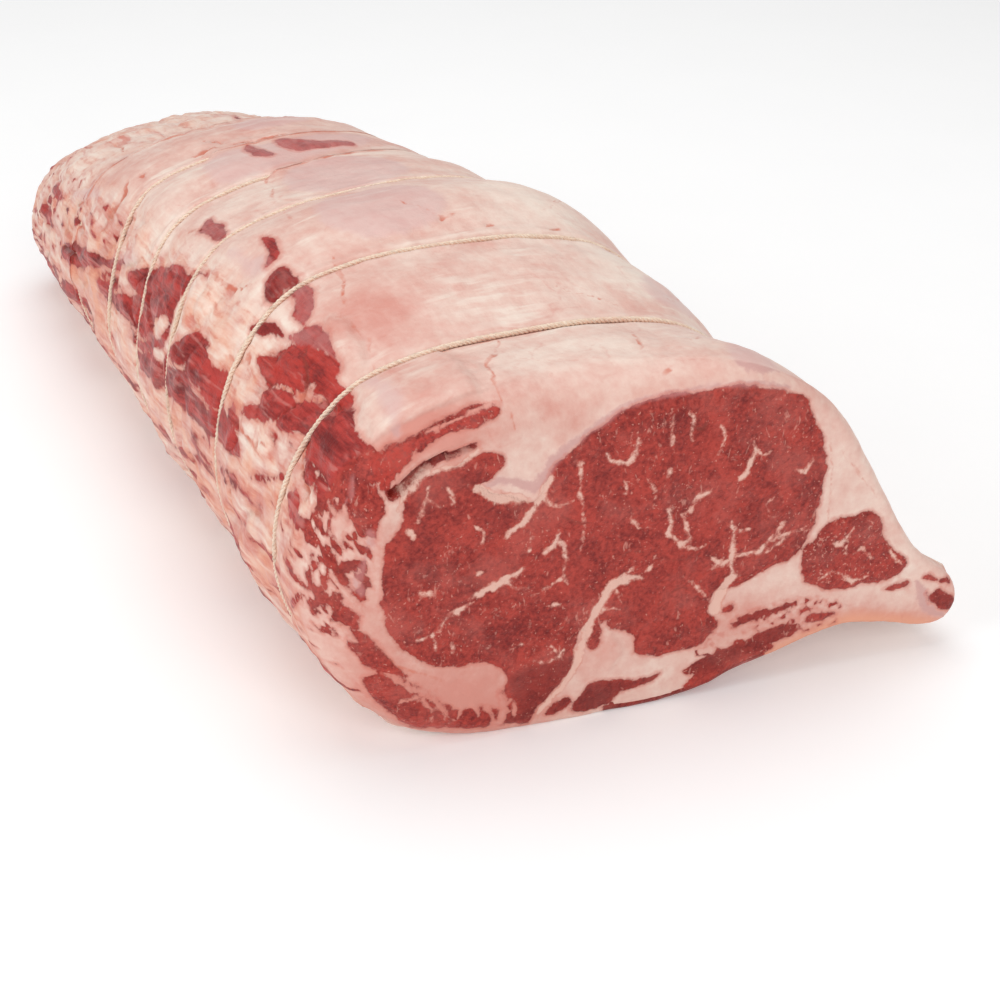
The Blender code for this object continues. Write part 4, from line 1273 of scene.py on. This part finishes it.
@dataclass
class Meat:
    """The body of the roast: one closed skin with its cut face and far end."""

    form: RoastForm
    face: CutFace = field(default_factory=CutFace)
    skin: Skin = field(default_factory=Skin)
    finish: MeatFinish = field(default_factory=MeatFinish)
    fine_way: Triple = (-160.0, 110.0, 1.75)  # from and to which way round, and the gap of columns
    coarse_way: float = 2.7  # the gap of columns elsewhere
    row_gaps: Points = ((24, 1.0), (272, 1.78), (431, 3.1))  # up to which distance, and the gap
    by_twine: tuple[float, float] = (6.0, 1.05)  # how near the twine, and the gap of rings there
    rim_rows: int = 24
    far_rows: int = 12
    face_gap: float = 1.06
    far_gap: float = 3.4
    rim_slope: tuple[float, float] = (-0.51, 0.58)  # how features on the rim lean back from the cut
    # Loops that fat has closed over: distance from the cut face, and from which way round to which.
    covered: Points = ((224, -16, 96), (268, -28, 96), (325, -126, 96))
    lip: float = 0.95  # height of the fat on both sides of the twine
    fade: float = 0.8  # how fast the features of one surface thin out past its border
    rib_half: float = 10.5  # half the width of the muscle between two ribs

    def ways(self) -> Array:
        """Ways round the outline at which the skin has a column of points."""
        low, high, gap = self.fine_way
        near = np.linspace(low, high, round((high - low) / gap), endpoint=False)
        rest = self.form.round - (high - low)
        far = np.linspace(0, rest, round(rest / self.coarse_way), endpoint=False)
        return np.concatenate([near, high + far])

    def distances(self) -> list[float]:
        """Distances from the cut face of the skin's rings: closest at the rim and by the twine."""
        length, reach = self.form.length, self.row_gaps[0][0]
        quarter = math.pi / 2
        rows = [reach * (1 - math.cos(quarter * k / self.rim_rows)) for k in range(self.rim_rows)]
        at, (_, last_gap) = reach, self.row_gaps[-1]
        while at < length - reach:
            near = min(abs(at - s) for s, _ in self.form.loops) < self.by_twine[0]
            gap = next((gap for stop, gap in self.row_gaps if at < stop), last_gap)
            rows.append(at)
            at += self.by_twine[1] if near else gap
        for k in range(self.far_rows, -1, -1):
            rows.append(length - reach * (1 - math.cos(quarter * k / self.far_rows)))
        return rows

    def cap(self, ring: Array, gap: float) -> tuple[Array, Array]:
        """Fills an end's ring with an even mesh.

        Args:
            ring: the ring's (x, z) points.
            gap: the distance between the points inside it.

        Returns:
            The inside points, and anticlockwise triangles that count the ring's points first.
        """
        low, high = ring.min(axis=0), ring.max(axis=0)
        row_height = gap * 0.866
        columns, rows = np.arange(low[0], high[0], gap), np.arange(low[1], high[1], row_height)
        across, up = np.meshgrid(columns, rows)
        across = across + (np.arange(len(up)) % 2 * gap / 2)[:, None]
        grid = np.stack([across.ravel(), up.ravel()], axis=1)
        grid = grid + 0.2 * gap * wander(grid, 0.8 * gap, (21, 22))
        nearest, inside = outline_gaps(grid, ring)
        grid = grid[inside & (nearest > 0.55 * gap)]
        flat = np.concatenate([ring, grid])
        edges = [(k, (k + 1) % len(ring)) for k in range(len(ring))]
        _, _, faces, sources, _, _ = delaunay_2d_cdt([Vector(p) for p in flat], edges, [], 1, 1e-6)
        triangles = np.array([source[0] for source in sources])[np.array(faces)]
        a, b, c = (flat[triangles[:, k]] for k in range(3))
        turned = (b - a)[:, 0] * (c - a)[:, 1] - (b - a)[:, 1] * (c - a)[:, 0] < 0
        triangles[turned] = triangles[turned][:, ::-1]
        return grid, triangles

    def build(self) -> bpy.types.Object:
        """Makes the piece with its attributes and finish."""
        form, ways = self.form, self.ways()
        places, distances = form.place_at(ways), self.distances()
        rings = [form.section(s, places) for s in distances]
        count, rows = len(ways), len(distances)
        row, column = np.divmod(np.arange((rows - 1) * count), count)
        here, after = row * count + column, row * count + (column + 1) % count
        quads = np.stack([here, after, after + count, here + count], axis=1)
        points = [form.solid(ring, s, form.skew_at(s)) for ring, s in zip(rings, distances)]
        wrapped = (ways + form.round / 2) % form.round - form.round / 2
        s_map, way_map = [np.repeat(distances, count)], [np.tile(wrapped, rows)]
        zone = [np.zeros(rows * count)]
        triangles, total = [], rows * count
        for end, gap in ((0, self.face_gap), (rows - 1, self.far_gap)):
            grid, filled = self.cap(rings[end], gap)
            index = np.concatenate([end * count + np.arange(count), total + np.arange(len(grid))])
            triangles.append(index[filled][:, ::-1] if end else index[filled])
            points.append(form.solid(grid, distances[end], form.skew_at(distances[end])))
            s_map.append(np.full(len(grid), distances[end]))
            way_map.append(np.zeros(len(grid)))
            zone.append(np.full(len(grid), 2.0 if end else 1.0))
            total += len(grid)
        solid, filled = np.concatenate(points), np.concatenate(triangles)
        corners = np.concatenate([quads[:, [0, 1, 2]], quads[:, [0, 2, 3]], filled])
        normals = self._normals(solid, corners)
        dressed, values = self._dressed(solid, normals, *map(np.concatenate, (s_map, way_map, zone)))
        faces = quads.tolist() + filled.tolist()
        inside = self._boxed(form.placed(dressed))
        made = mesh_piece("beef_body", inside, faces, self.finish.material())
        for name, value in values.items():
            attribute = made.data.attributes.new(name, "FLOAT", "POINT")
            attribute.data.foreach_set("value", value.astype(np.float32))
        LOG.info("beef_body: %d points, %d triangles", len(solid), len(corners))
        return made

    @staticmethod
    def _normals(points: Array, triangles: Array) -> Array:
        """Smooth outward normals at the points of a mesh."""
        a, b, c = (points[triangles[:, k]] for k in range(3))
        across = np.cross(b - a, c - a)
        total = np.zeros((len(points), 3))
        for axis in range(3):
            for k in range(3):
                total[:, axis] += np.bincount(triangles[:, k], across[:, axis], len(points))
        return total / np.maximum(np.linalg.norm(total, axis=1), 1e-9)[:, None]

    @staticmethod
    def _boxed(points: Array) -> Array:
        """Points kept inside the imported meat's own box."""
        low, high = (np.array(corner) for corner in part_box("beef"))
        return np.clip(points, low, high)

    def _dressed(
        self, points: Array, normals: Array, s: Array, way: Array, zone: Array
    ) -> tuple[Array, dict[str, Array]]:
        """Adds the low relief and reads what the surface is made of.

        Args:
            points: the plain surface, in millimetres.
            normals: its outward normals.
            s: distances from the cut face.
            way: ways round from the crown.
            zone: 0 on the skin, 1 on the cut face and 2 on the far end.

        Returns:
            The moved points, and the values of each attribute.
        """
        form = self.form
        front, far = zone == 1, zone == 2
        radius = closed_curve(np.array(form.edge_radius, float)[:, None], form.place_at(way))[:, 0]
        reach = np.where(front, 1e3, np.maximum(3.0, 0.85 * radius))
        on_cut = np.where(far, 0.0, eased((reach * 1.2 - s) / (0.4 * reach)))
        behind = points[:, 1] - form.face_skew * points[:, 0]
        back_x, back_z = self.rim_slope
        seen = np.stack([points[:, 0] + back_x * behind, points[:, 2] + back_z * behind], axis=1)
        cut, (end, end_width) = self.face.read(seen), self._read_end(points)
        on_end = np.where(far, 1.0, eased((s - form.length + 9) / 7))
        skin = self.skin.read(np.stack([s, way], axis=1))
        self._underside(skin, s, way, points)
        side_limit = np.where(front | far, FAR_OUT, (s - reach + 8.0) * self.fade)
        cut_limit = np.where(front, -FAR_OUT, (reach - s) * self.fade + 1.0)
        end_limit = np.where(far, -FAR_OUT, (s - form.length + 6) * self.fade)
        depths = {}
        for tissue in Tissue:
            side = np.minimum(np.maximum(skin.depths[tissue], FAR_OUT), side_limit)
            near = np.minimum(cut.depths[tissue], cut_limit)
            away = np.minimum(end.depths[tissue] * end_width, end_limit)
            depths[tissue] = np.maximum(np.maximum(near, away), side)
        blush, height = (
            a * on_cut + (1 - on_cut) * (b * (1 - on_end) + c * on_end)
            for a, b, c in ((cut.blush, skin.blush, end.blush), (cut.height, skin.height, end.height))
        )
        height = self._tied(height + self._lumps(points, s, way, on_cut), points, s, way, on_cut)
        moved = points + normals * height[:, None]
        moved[:, 1] += self._slit(seen) * on_cut
        floor = np.array([form.floor_at(distance) for distance in s])
        moved[:, 2] = np.maximum(moved[:, 2], np.where(form.is_low(way), floor, 0.0))
        small = Patch(Tissue.LEAN, self.face.lean[1]).depth(seen)
        peach = eased((Patch(Tissue.FAT, self.face.peach).depth(seen) + 3) / 7) * (1 - on_end)
        values = {tissue.value: depths[tissue] for tissue in Tissue if tissue is not Tissue.FAT}
        values["cut"] = np.maximum(on_cut, on_end)
        values["blush"] = blush
        values["speckled"] = eased((small + 2) / 4) * on_cut
        values["streaky"] = self._roughness(s, way) * (1 - on_cut) + peach * on_cut
        return moved, values

    def _read_end(self, points: Array) -> tuple[Reading, float]:
        """Reads the far end as a smaller cut face, and says how wide that is beside the front one."""
        form = self.form
        shift, width, height, _ = form.station_at(form.length)
        across = (points[:, 0] - form.axis_x - shift) / width + form.axis_x
        places = np.stack([across, points[:, 2] / height], axis=1)
        return self.face.read(places + 6.0 * wander(places, 30.0, (31, 32))), width

    def _slit(self, seen: Array) -> Array:
        """How deep the slit under the slab of fat goes at places of the cut."""
        slit = Strand(Tissue.DARK, self.face.slit).depth(seen + 0.5 * wander(seen, 4.0, (3, 4)))
        return self.face.slit_depth * eased((slit + 0.5) / 1.2)

    def _underside(self, skin: Reading, s: Array, way: Array, points: Array) -> None:
        """Lays bands of muscle between the ribs, and membrane over the ribs, on the underside."""
        form = self.form
        start, stop = form.loops[0][0], form.loops[-1][0]
        pitch = (stop - start) / (len(form.loops) - 1)
        push = lumps(points, 16.0, 41, 3)
        off = np.abs((s - start + pitch / 2) % pitch - pitch / 2)
        low = np.where(form.is_low(way), -FAR_OUT, FAR_OUT)
        from_edge = np.where(way > 0, (way - 214) * 0.6, (-way - 244) * 0.6)
        inside = np.minimum(low, from_edge + 3 * push)
        under_lip = points[:, 0] > 84  # there the bands start a little behind the cut
        inside = np.where(under_lip, np.minimum(inside, (s - 16) * 0.6), inside)
        band = np.minimum(self.rib_half + 4.0 * push - off, inside)
        skin.depths[Tissue.LEAN] = np.maximum(skin.depths[Tissue.LEAN], band)
        dark = np.minimum(band - 2.0, -FAR_OUT)
        skin.depths[Tissue.DARK] = np.maximum(skin.depths[Tissue.DARK], dark)
        cover = np.minimum(off - (self.rib_half - 1.5) + 3.0 * push, inside)
        skin.depths[Tissue.MEMBRANE] = np.maximum(skin.depths[Tissue.MEMBRANE], cover)

    @staticmethod
    def _roughness(s: Array, way: Array) -> Array:
        """How rough and streaky the skin is: most on the left side, and at the far end."""
        left = eased((-way - 56) / 24) * eased((way + 214) / 40)
        lip = eased((way - 118) / 20) * eased((206 - way) / 12) * eased((26 - s) / 10)
        return np.maximum(np.maximum(left, lip), eased((s - 290) / 90) * 0.75)

    def _lumps(self, points: Array, s: Array, way: Array, on_cut: Array) -> Array:
        """Low, uneven relief: soft in the fat cap, coarser on the left side and the far end."""
        rough = self._roughness(s, way)
        soft = 0.4 * lumps(points, 9.0, 11, 3) + 0.5 * lumps(points, 26.0, 12, 2)
        coarse = 2.1 * lumps(points, 23.0, 13, 3) + 0.9 * lumps(points, 9.0, 14, 2)
        drawn = 0.9 * lumps(points / (1.0, 5.0, 1.0), 6.0, 20, 3)
        fold = eased(1 - np.abs(lumps(points / (1.0, 1.6, 1.0), 17.0, 18, 2)) / 0.16)
        folded = np.clip(rough + 0.18, 0, 1) * (1 - on_cut) * eased(lumps(points, 40.0, 19) * 2 + 0.6)
        soft = soft - 1.5 * fold * folded
        dents = 0.6 * lumps(points, 15.0, 15, 2) + 0.22 * lumps(points, 3.4, 16, 2)
        return (1 - on_cut) * (soft + rough * (coarse + drawn)) + on_cut * dents

    def _tied(self, height: Array, points: Array, s: Array, way: Array, on_cut: Array) -> Array:
        """Presses the relief down under the twine, with a lip along it and fat over part of it.

        Args:
            height: the relief as it would be with no twine.
            points: the plain surface.
            s: distances from the cut face.
            way: ways round from the crown.
            on_cut: 1 on the cut face.

        Returns:
            The relief with the twine's marks.
        """
        form = self.form
        for distance, _ in form.loops:
            gap = np.abs(s - distance)
            over = np.zeros(len(s))
            for at, low, high in self.covered:
                if at == distance:
                    over = eased((way - low) / 9) * eased((high - way) / 12)
            height = height * (1 - 0.9 * eased(1 - gap / 4.5) * (1 - over))
            height = np.minimum(height, 0.3 + 0.3 * np.maximum(0, gap - 2.0) + 9 * over)
            share = 0.4 if distance == form.loops[0][0] else 1.0
            swell = self.lip * share + 0.4 * lumps(points, 11.0, 17, 2)
            height += swell * np.exp(-(((gap - 2.9) / 1.3) ** 2)) * (1 - on_cut) * (1 - over)
            dent = form.pinch * np.exp(-((gap / form.pinch_reach) ** 2))
            dent = dent + form.groove * np.clip(1 - gap / form.groove_half, 0, 1)
            height += over * (dent + 0.7 * np.exp(-((gap / 6.0) ** 2)))
        return height


@dataclass
class Twine:
    """The loops of cotton twine, each three plies twisted together and tied on the right."""

    form: RoastForm
    finish: TwineFinish = field(default_factory=TwineFinish)
    radius: float = 1.08
    ply_radius: float = 0.56
    ply_offset: float = 0.52  # from the middle of the twine to the middle of a ply
    pitch: float = 5.2  # the length of one full twist
    step: float = 0.7  # between two rings of a ply
    sides: int = 6
    clearance: float = 0.12
    knot_at: float = 9.5  # the place round the outline, in points
    knot_radius: float = 1.75
    tail: float = 16.0
    hairs: float = 700.0  # a metre
    hair_length: float = 1.2
    lowest: float = 0.02  # height over the floor

    def path(self, distance: float) -> Array:
        """The taut way round the roast in its own plane, in (x, z), clockwise from the front."""
        ways = np.linspace(0, self.form.round, 240, endpoint=False)
        ring = self.form.section(distance, self.form.place_at(ways))
        order = sorted(map(tuple, ring))
        chains = []
        for run in (order, order[::-1]):
            chain: list[tuple[float, float]] = []
            for p in run:
                while len(chain) > 1 and self._turn(chain[-2], chain[-1], p) >= 0:
                    chain.pop()
                chain.append(p)
            chains.append(chain[:-1])
        hull = np.array(chains[0] + chains[1])
        steps = np.linalg.norm(np.roll(hull, -1, axis=0) - hull, axis=1)
        run = np.concatenate([[0], np.cumsum(steps)])
        even = np.linspace(0, run[-1], 200, endpoint=False)
        closed = np.concatenate([hull, hull[:1]])
        loop = np.stack([np.interp(even, run, closed[:, k]) for k in (0, 1)], axis=1)
        for _ in range(3):
            loop = 0.5 * loop + 0.25 * (np.roll(loop, 1, axis=0) + np.roll(loop, -1, axis=0))
        way = np.roll(loop, -1, axis=0) - np.roll(loop, 1, axis=0)
        out = np.stack([-way[:, 1], way[:, 0]], axis=1)
        return loop + out / np.linalg.norm(out, axis=1)[:, None] * (self.radius + self.clearance)

    def _under_knot(self, distance: float) -> Array:
        """The (x, z) of the meat in line with the knots, at a distance from the cut face."""
        return self.form.section(distance, np.array([self.knot_at]))[0]

    @staticmethod
    def _turn(a: Sequence[float], b: Sequence[float], c: Sequence[float]) -> float:
        """Above zero where the way from a through b to c turns left."""
        return (b[0] - a[0]) * (c[1] - a[1]) - (b[1] - a[1]) * (c[0] - a[0])

    def curve(self, name: str, distance: float, skew: float) -> bpy.types.Object:
        """The loop, its knot and its two tails as one curve object."""
        loop = self.path(distance)
        centre = self._under_knot(distance)
        start = int(np.argmin(np.linalg.norm(loop - centre, axis=1)))
        data = bpy.data.curves.new(name, "CURVE")
        data.dimensions = "3D"
        self._spline(data, self.form.placed(self.form.solid(loop, distance, skew)), True)
        way = loop[(start + 1) % len(loop)] - loop[start - 1]
        way /= np.linalg.norm(way)
        out = np.array([-way[1], way[0]])
        turns = np.linspace(0, 2.3 * 2 * math.pi, 40)
        along = np.linspace(-3.0, 3.0, 40)
        ring = loop[start] + along[:, None] * way + (self.knot_radius * np.cos(turns))[:, None] * out
        knot = self.form.solid(ring, distance, skew)
        knot[:, 1] += self.knot_radius * np.sin(turns)
        self._spline(data, self.form.placed(knot), False)
        for side, reach in ((-1, self.tail), (1, 0.8 * self.tail)):
            share = np.linspace(0, 1, 10)[:, None]
            flat = loop[start] + out * (1.2 - 1.0 * share) + way * (side * 2.5 + 4.0 * side * share**2)
            tail = self.form.solid(flat, distance, skew)
            tail[:, 1] += side * reach * share[:, 0]
            beside = distance + side * reach * share[:, 0]
            lift = np.array([self._under_knot(s) - centre for s in beside])
            tail[:, 0] += lift @ out * out[0]
            tail[:, 2] += lift @ out * out[1]
            self._spline(data, self.form.placed(tail), False)
        made = bpy.data.objects.new(name, data)
        bpy.context.scene.collection.objects.link(made)
        return made

    @staticmethod
    def _spline(data: bpy.types.Curve, points: Array, cyclic: bool) -> None:
        """Adds one poly spline."""
        spline = data.splines.new("POLY")
        spline.points.add(len(points) - 1)
        weighted = np.concatenate([points, np.ones((len(points), 1))], axis=1)
        spline.points.foreach_set("co", weighted.ravel())
        spline.use_cyclic_u = cyclic

    def tree(self, material: bpy.types.Material) -> bpy.types.NodeTree:
        """Geometry Nodes that lay three twisted plies and their loose fibres along a curve."""
        tree = bpy.data.node_groups.new("laid_twine", "GeometryNodeTree")
        g = Graph(tree)
        wanted = self._sockets(g)
        twine = self._plies(g, wanted)
        whole = g.node("GeometryNodeJoinGeometry")
        for part in (self._fuzz(g, twine, wanted), twine):
            tree.links.new(part.socket, whole.socket.node.inputs[0])
        smooth = g.node("GeometryNodeSetShadeSmooth", {}, {"Geometry": whole})
        values = {"Geometry": smooth, "Material": material}
        g.node("NodeGroupOutput", {}, {0: g.node("GeometryNodeSetMaterial", {}, values)})
        return tree

    def _sockets(self, g: Graph) -> dict[str, Wire]:
        """Gives the group its sockets, and returns its inputs by name."""
        fibres = self.hairs / (3 * 2 * math.pi * self.ply_radius * MM)
        sizes = {
            "Ply radius": self.ply_radius * MM,
            "Ply offset": self.ply_offset * MM,
            "Pitch": self.pitch * MM,
            "Step": self.step * MM,
            "Hairs a square metre": fibres,
            "Hair length": self.hair_length * MM,
        }
        make = g.tree.interface.new_socket
        make("Curve", in_out="INPUT", socket_type="NodeSocketGeometry")
        for name, size in sizes.items():
            make(name, in_out="INPUT", socket_type="NodeSocketFloat").default_value = size
        make("Seed", in_out="INPUT", socket_type="NodeSocketInt").default_value = 1
        make("Mesh", in_out="OUTPUT", socket_type="NodeSocketGeometry")
        start = g.node("NodeGroupInput")
        return {name: g.also(start, name) for name in (*sizes, "Curve", "Seed")}

    def _plies(self, g: Graph, wanted: dict[str, Wire]) -> Wire:
        """Winds three plies round the curve."""
        values = {"Curve": wanted["Curve"], "Length": wanted["Step"]}
        laid = g.node("GeometryNodeResampleCurve", {"mode": "LENGTH"}, values)
        share = g.node("GeometryNodeSplineParameter", output="Factor")
        length = g.node("GeometryNodeSplineLength", output="Length")
        turns = (length / wanted["Pitch"]).math("ROUND")
        normal = g.node("GeometryNodeInputNormal")
        tangent = g.node("GeometryNodeInputTangent")
        across = g.vector("CROSS_PRODUCT", tangent, normal)
        laid = self._stored(g, laid, "run", share * length * (1 / MM))
        values = {"Resolution": self.sides, "Radius": wanted["Ply radius"]}
        profile = g.node("GeometryNodeCurvePrimitiveCircle", {"mode": "RADIUS"}, values)
        round_ply = g.node("GeometryNodeSplineParameter", output="Factor")
        profile = self._stored(g, profile, "turn", round_ply)
        plies = []
        for ply in range(3):
            angle = share * turns * (2 * math.pi) + ply * 2 * math.pi / 3
            sideways = g.scaled(normal, angle.math("COSINE") * wanted["Ply offset"])
            outwards = g.scaled(across, angle.math("SINE") * wanted["Ply offset"])
            offset = g.vector("ADD", sideways, outwards)
            moved = g.node("GeometryNodeSetPosition", {}, {"Geometry": laid, "Offset": offset})
            values = {"Curve": moved, "Profile Curve": profile, "Fill Caps": True}
            plies.append(g.node("GeometryNodeCurveToMesh", {}, values))
        joined = g.node("GeometryNodeJoinGeometry")
        for ply in plies:
            g.tree.links.new(ply.socket, joined.socket.node.inputs[0])
        return joined

    def _fuzz(self, g: Graph, twine: Wire, wanted: dict[str, Wire]) -> Wire:
        """Scatters loose fibres over the plies, each a thin cone that leans its own way."""
        seed = wanted["Seed"]
        scattered = g.node(
            "GeometryNodeDistributePointsOnFaces",
            {"distribute_method": "RANDOM"},
            {"Mesh": twine, "Density": wanted["Hairs a square metre"], "Seed": seed},
        )
        hair = g.node(
            "GeometryNodeMeshCone",
            {"fill_type": "TRIANGLE_FAN"},
            {
                "Vertices": 3,
                "Side Segments": 1,
                "Radius Top": 0.00001,
                "Radius Bottom": 0.00005,
                "Depth": wanted["Hair length"],
            },
        )
        lean_away = g.node(
            "FunctionNodeRandomValue",
            {"data_type": "FLOAT_VECTOR"},
            {0: (-1.1, -1.1, 0.0), 1: (1.1, 1.1, 6.28), "Seed": seed},
        )
        values = {0: g.also(scattered, "Rotation"), 1: lean_away}
        turned = g.node("FunctionNodeRotateRotation", {"rotation_space": "LOCAL"}, values)
        values = {2: 0.4, 3: 1.0, "Seed": seed}
        size = g.node("FunctionNodeRandomValue", {"data_type": "FLOAT"}, values, 1)
        values = {"Points": scattered, "Instance": hair, "Rotation": turned, "Scale": size}
        fuzz = g.node("GeometryNodeInstanceOnPoints", {}, values)
        return g.node("GeometryNodeRealizeInstances", {}, {0: fuzz})

    @staticmethod
    def _stored(g: Graph, geometry: Wire, name: str, value: Wire) -> Wire:
        """Keeps a value as an attribute of the points, for the finish to read."""
        return g.node(
            "GeometryNodeStoreNamedAttribute",
            {"data_type": "FLOAT", "domain": "POINT"},
            {"Geometry": geometry, "Name": name, "Value": value},
        )

    def build(self) -> list[bpy.types.Object]:
        """Makes the six loops."""
        tree = self.tree(self.finish.material())
        seed = next(item.identifier for item in tree.interface.items_tree if item.name == "Seed")
        made = []
        for number, (distance, skew) in enumerate(self.form.loops, start=1):
            source = self.curve(f"twine_path_{number}", distance, skew)
            laid = source.modifiers.new("laid_twine", "NODES")
            laid.node_group = tree
            laid[seed] = number
            piece = plain_mesh(source, f"cotton_loop_{number}")
            self._on_floor(piece)
            LOG.info("%s: %d faces", piece.name, len(piece.data.polygons))
            made.append(piece)
        return made

    def _on_floor(self, piece: bpy.types.Object) -> None:
        """Lifts what would poke through the floor."""
        points = np.empty(len(piece.data.vertices) * 3, np.float32)
        piece.data.vertices.foreach_get("co", points)
        points[2::3] = np.maximum(points[2::3], self.lowest * MM)
        piece.data.vertices.foreach_set("co", points)


def plain_mesh(source: bpy.types.Object, name: str) -> bpy.types.Object:
    """Turns an object with modifiers into a plain mesh piece, and removes the source.

    Args:
        source: the object, with its modifiers live.
        name: the new piece's name.

    Returns:
        The piece, at the origin.
    """
    graph = bpy.context.evaluated_depsgraph_get()
    mesh = bpy.data.meshes.new_from_object(
        source.evaluated_get(graph), preserve_all_data_layers=True, depsgraph=graph
    )
    mesh.name = name
    piece = bpy.data.objects.new(name, mesh)
    bpy.context.scene.collection.objects.link(piece)
    source.modifiers.clear()
    bpy.data.objects.remove(source)
    return piece


@dataclass
class Studio:
    """A pale floor, soft lights and the camera."""

    camera_at: Triple = (-0.31352, -0.68011, 0.38539)
    forward: Triple = (0.42573, 0.76272, -0.48684)
    lens: float = 70.96
    floor: FloorFinish = field(default_factory=FloorFinish)
    floor_half: float = 40.0  # m
    world: float = 0.44
    # Name, place, target, size in metres, power in watts.
    lights: tuple[tuple[str, Triple, Triple, float, float], ...] = (
        ("overhead", (0.1, 0.2, 1.5), (0.0, 0.0, 0.05), 1.4, 9.5),
        ("front", (-0.3, -1.5, 0.9), (0.0, -0.1, 0.06), 1.2, 7.4),
        ("left", (-1.5, -0.1, 0.9), (0.0, 0.0, 0.06), 1.1, 7.5),
    )

    def build(self) -> None:
        """Makes the floor, the lights, the world and the camera."""
        corners = [(x, y, 0.0) for x, y in ((-1, -1), (1, -1), (1, 1), (-1, 1))]
        outline = self.floor_half * np.array(corners)
        floor = mesh_piece("floor", outline, [(0, 1, 2, 3)], self.floor.material())
        for name, place, target, width, power in self.lights:
            lamp = bpy.data.lights.new(name, "AREA")
            lamp.shape, lamp.size, lamp.energy = "DISK", width, power
            made = bpy.data.objects.new(name, lamp)
            turn = (Vector(target) - Vector(place)).to_track_quat("-Z", "Y")
            made.matrix_world = Matrix.Translation(place) @ turn.to_matrix().to_4x4()
            bpy.context.scene.collection.objects.link(made)
        world = bpy.data.worlds.new("soft_white")
        world.use_nodes = True
        background = world.node_tree.nodes["Background"]
        background.inputs["Color"].default_value = (1.0, 1.0, 1.0, 1.0)
        background.inputs["Strength"].default_value = self.world
        bpy.context.scene.world = world
        self._camera()
        bpy.context.scene.view_settings.view_transform = "Standard"

    def _camera(self) -> None:
        """Makes the camera."""
        data = bpy.data.cameras.new("camera")
        data.lens, data.sensor_width, data.sensor_fit = self.lens, 36.0, "HORIZONTAL"
        data.clip_start, data.clip_end = 0.01, 50.0
        made = bpy.data.objects.new("camera", data)
        forward = Vector(self.forward).normalized()
        right = forward.cross(Vector((0, 0, 1))).normalized()
        up = right.cross(forward)
        axes = Matrix((right, up, -forward)).transposed()
        made.matrix_world = Matrix.Translation(self.camera_at) @ axes.to_4x4()
        bpy.context.scene.collection.objects.link(made)
        bpy.context.scene.camera = made


def main() -> None:
    """Builds the roast piece by piece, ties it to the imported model, and sets up the studio."""
    logging.basicConfig(level=logging.INFO, format="%(name)s: %(message)s")
    form = RoastForm()
    meat = Meat(form).build()
    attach(meat, "root")
    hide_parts("beef")
    for number, loop in enumerate(Twine(form).build(), start=1):
        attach(loop, "root")
        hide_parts(f"twine_{number}")
    Studio().build()


if __name__ == "__main__":
    main()
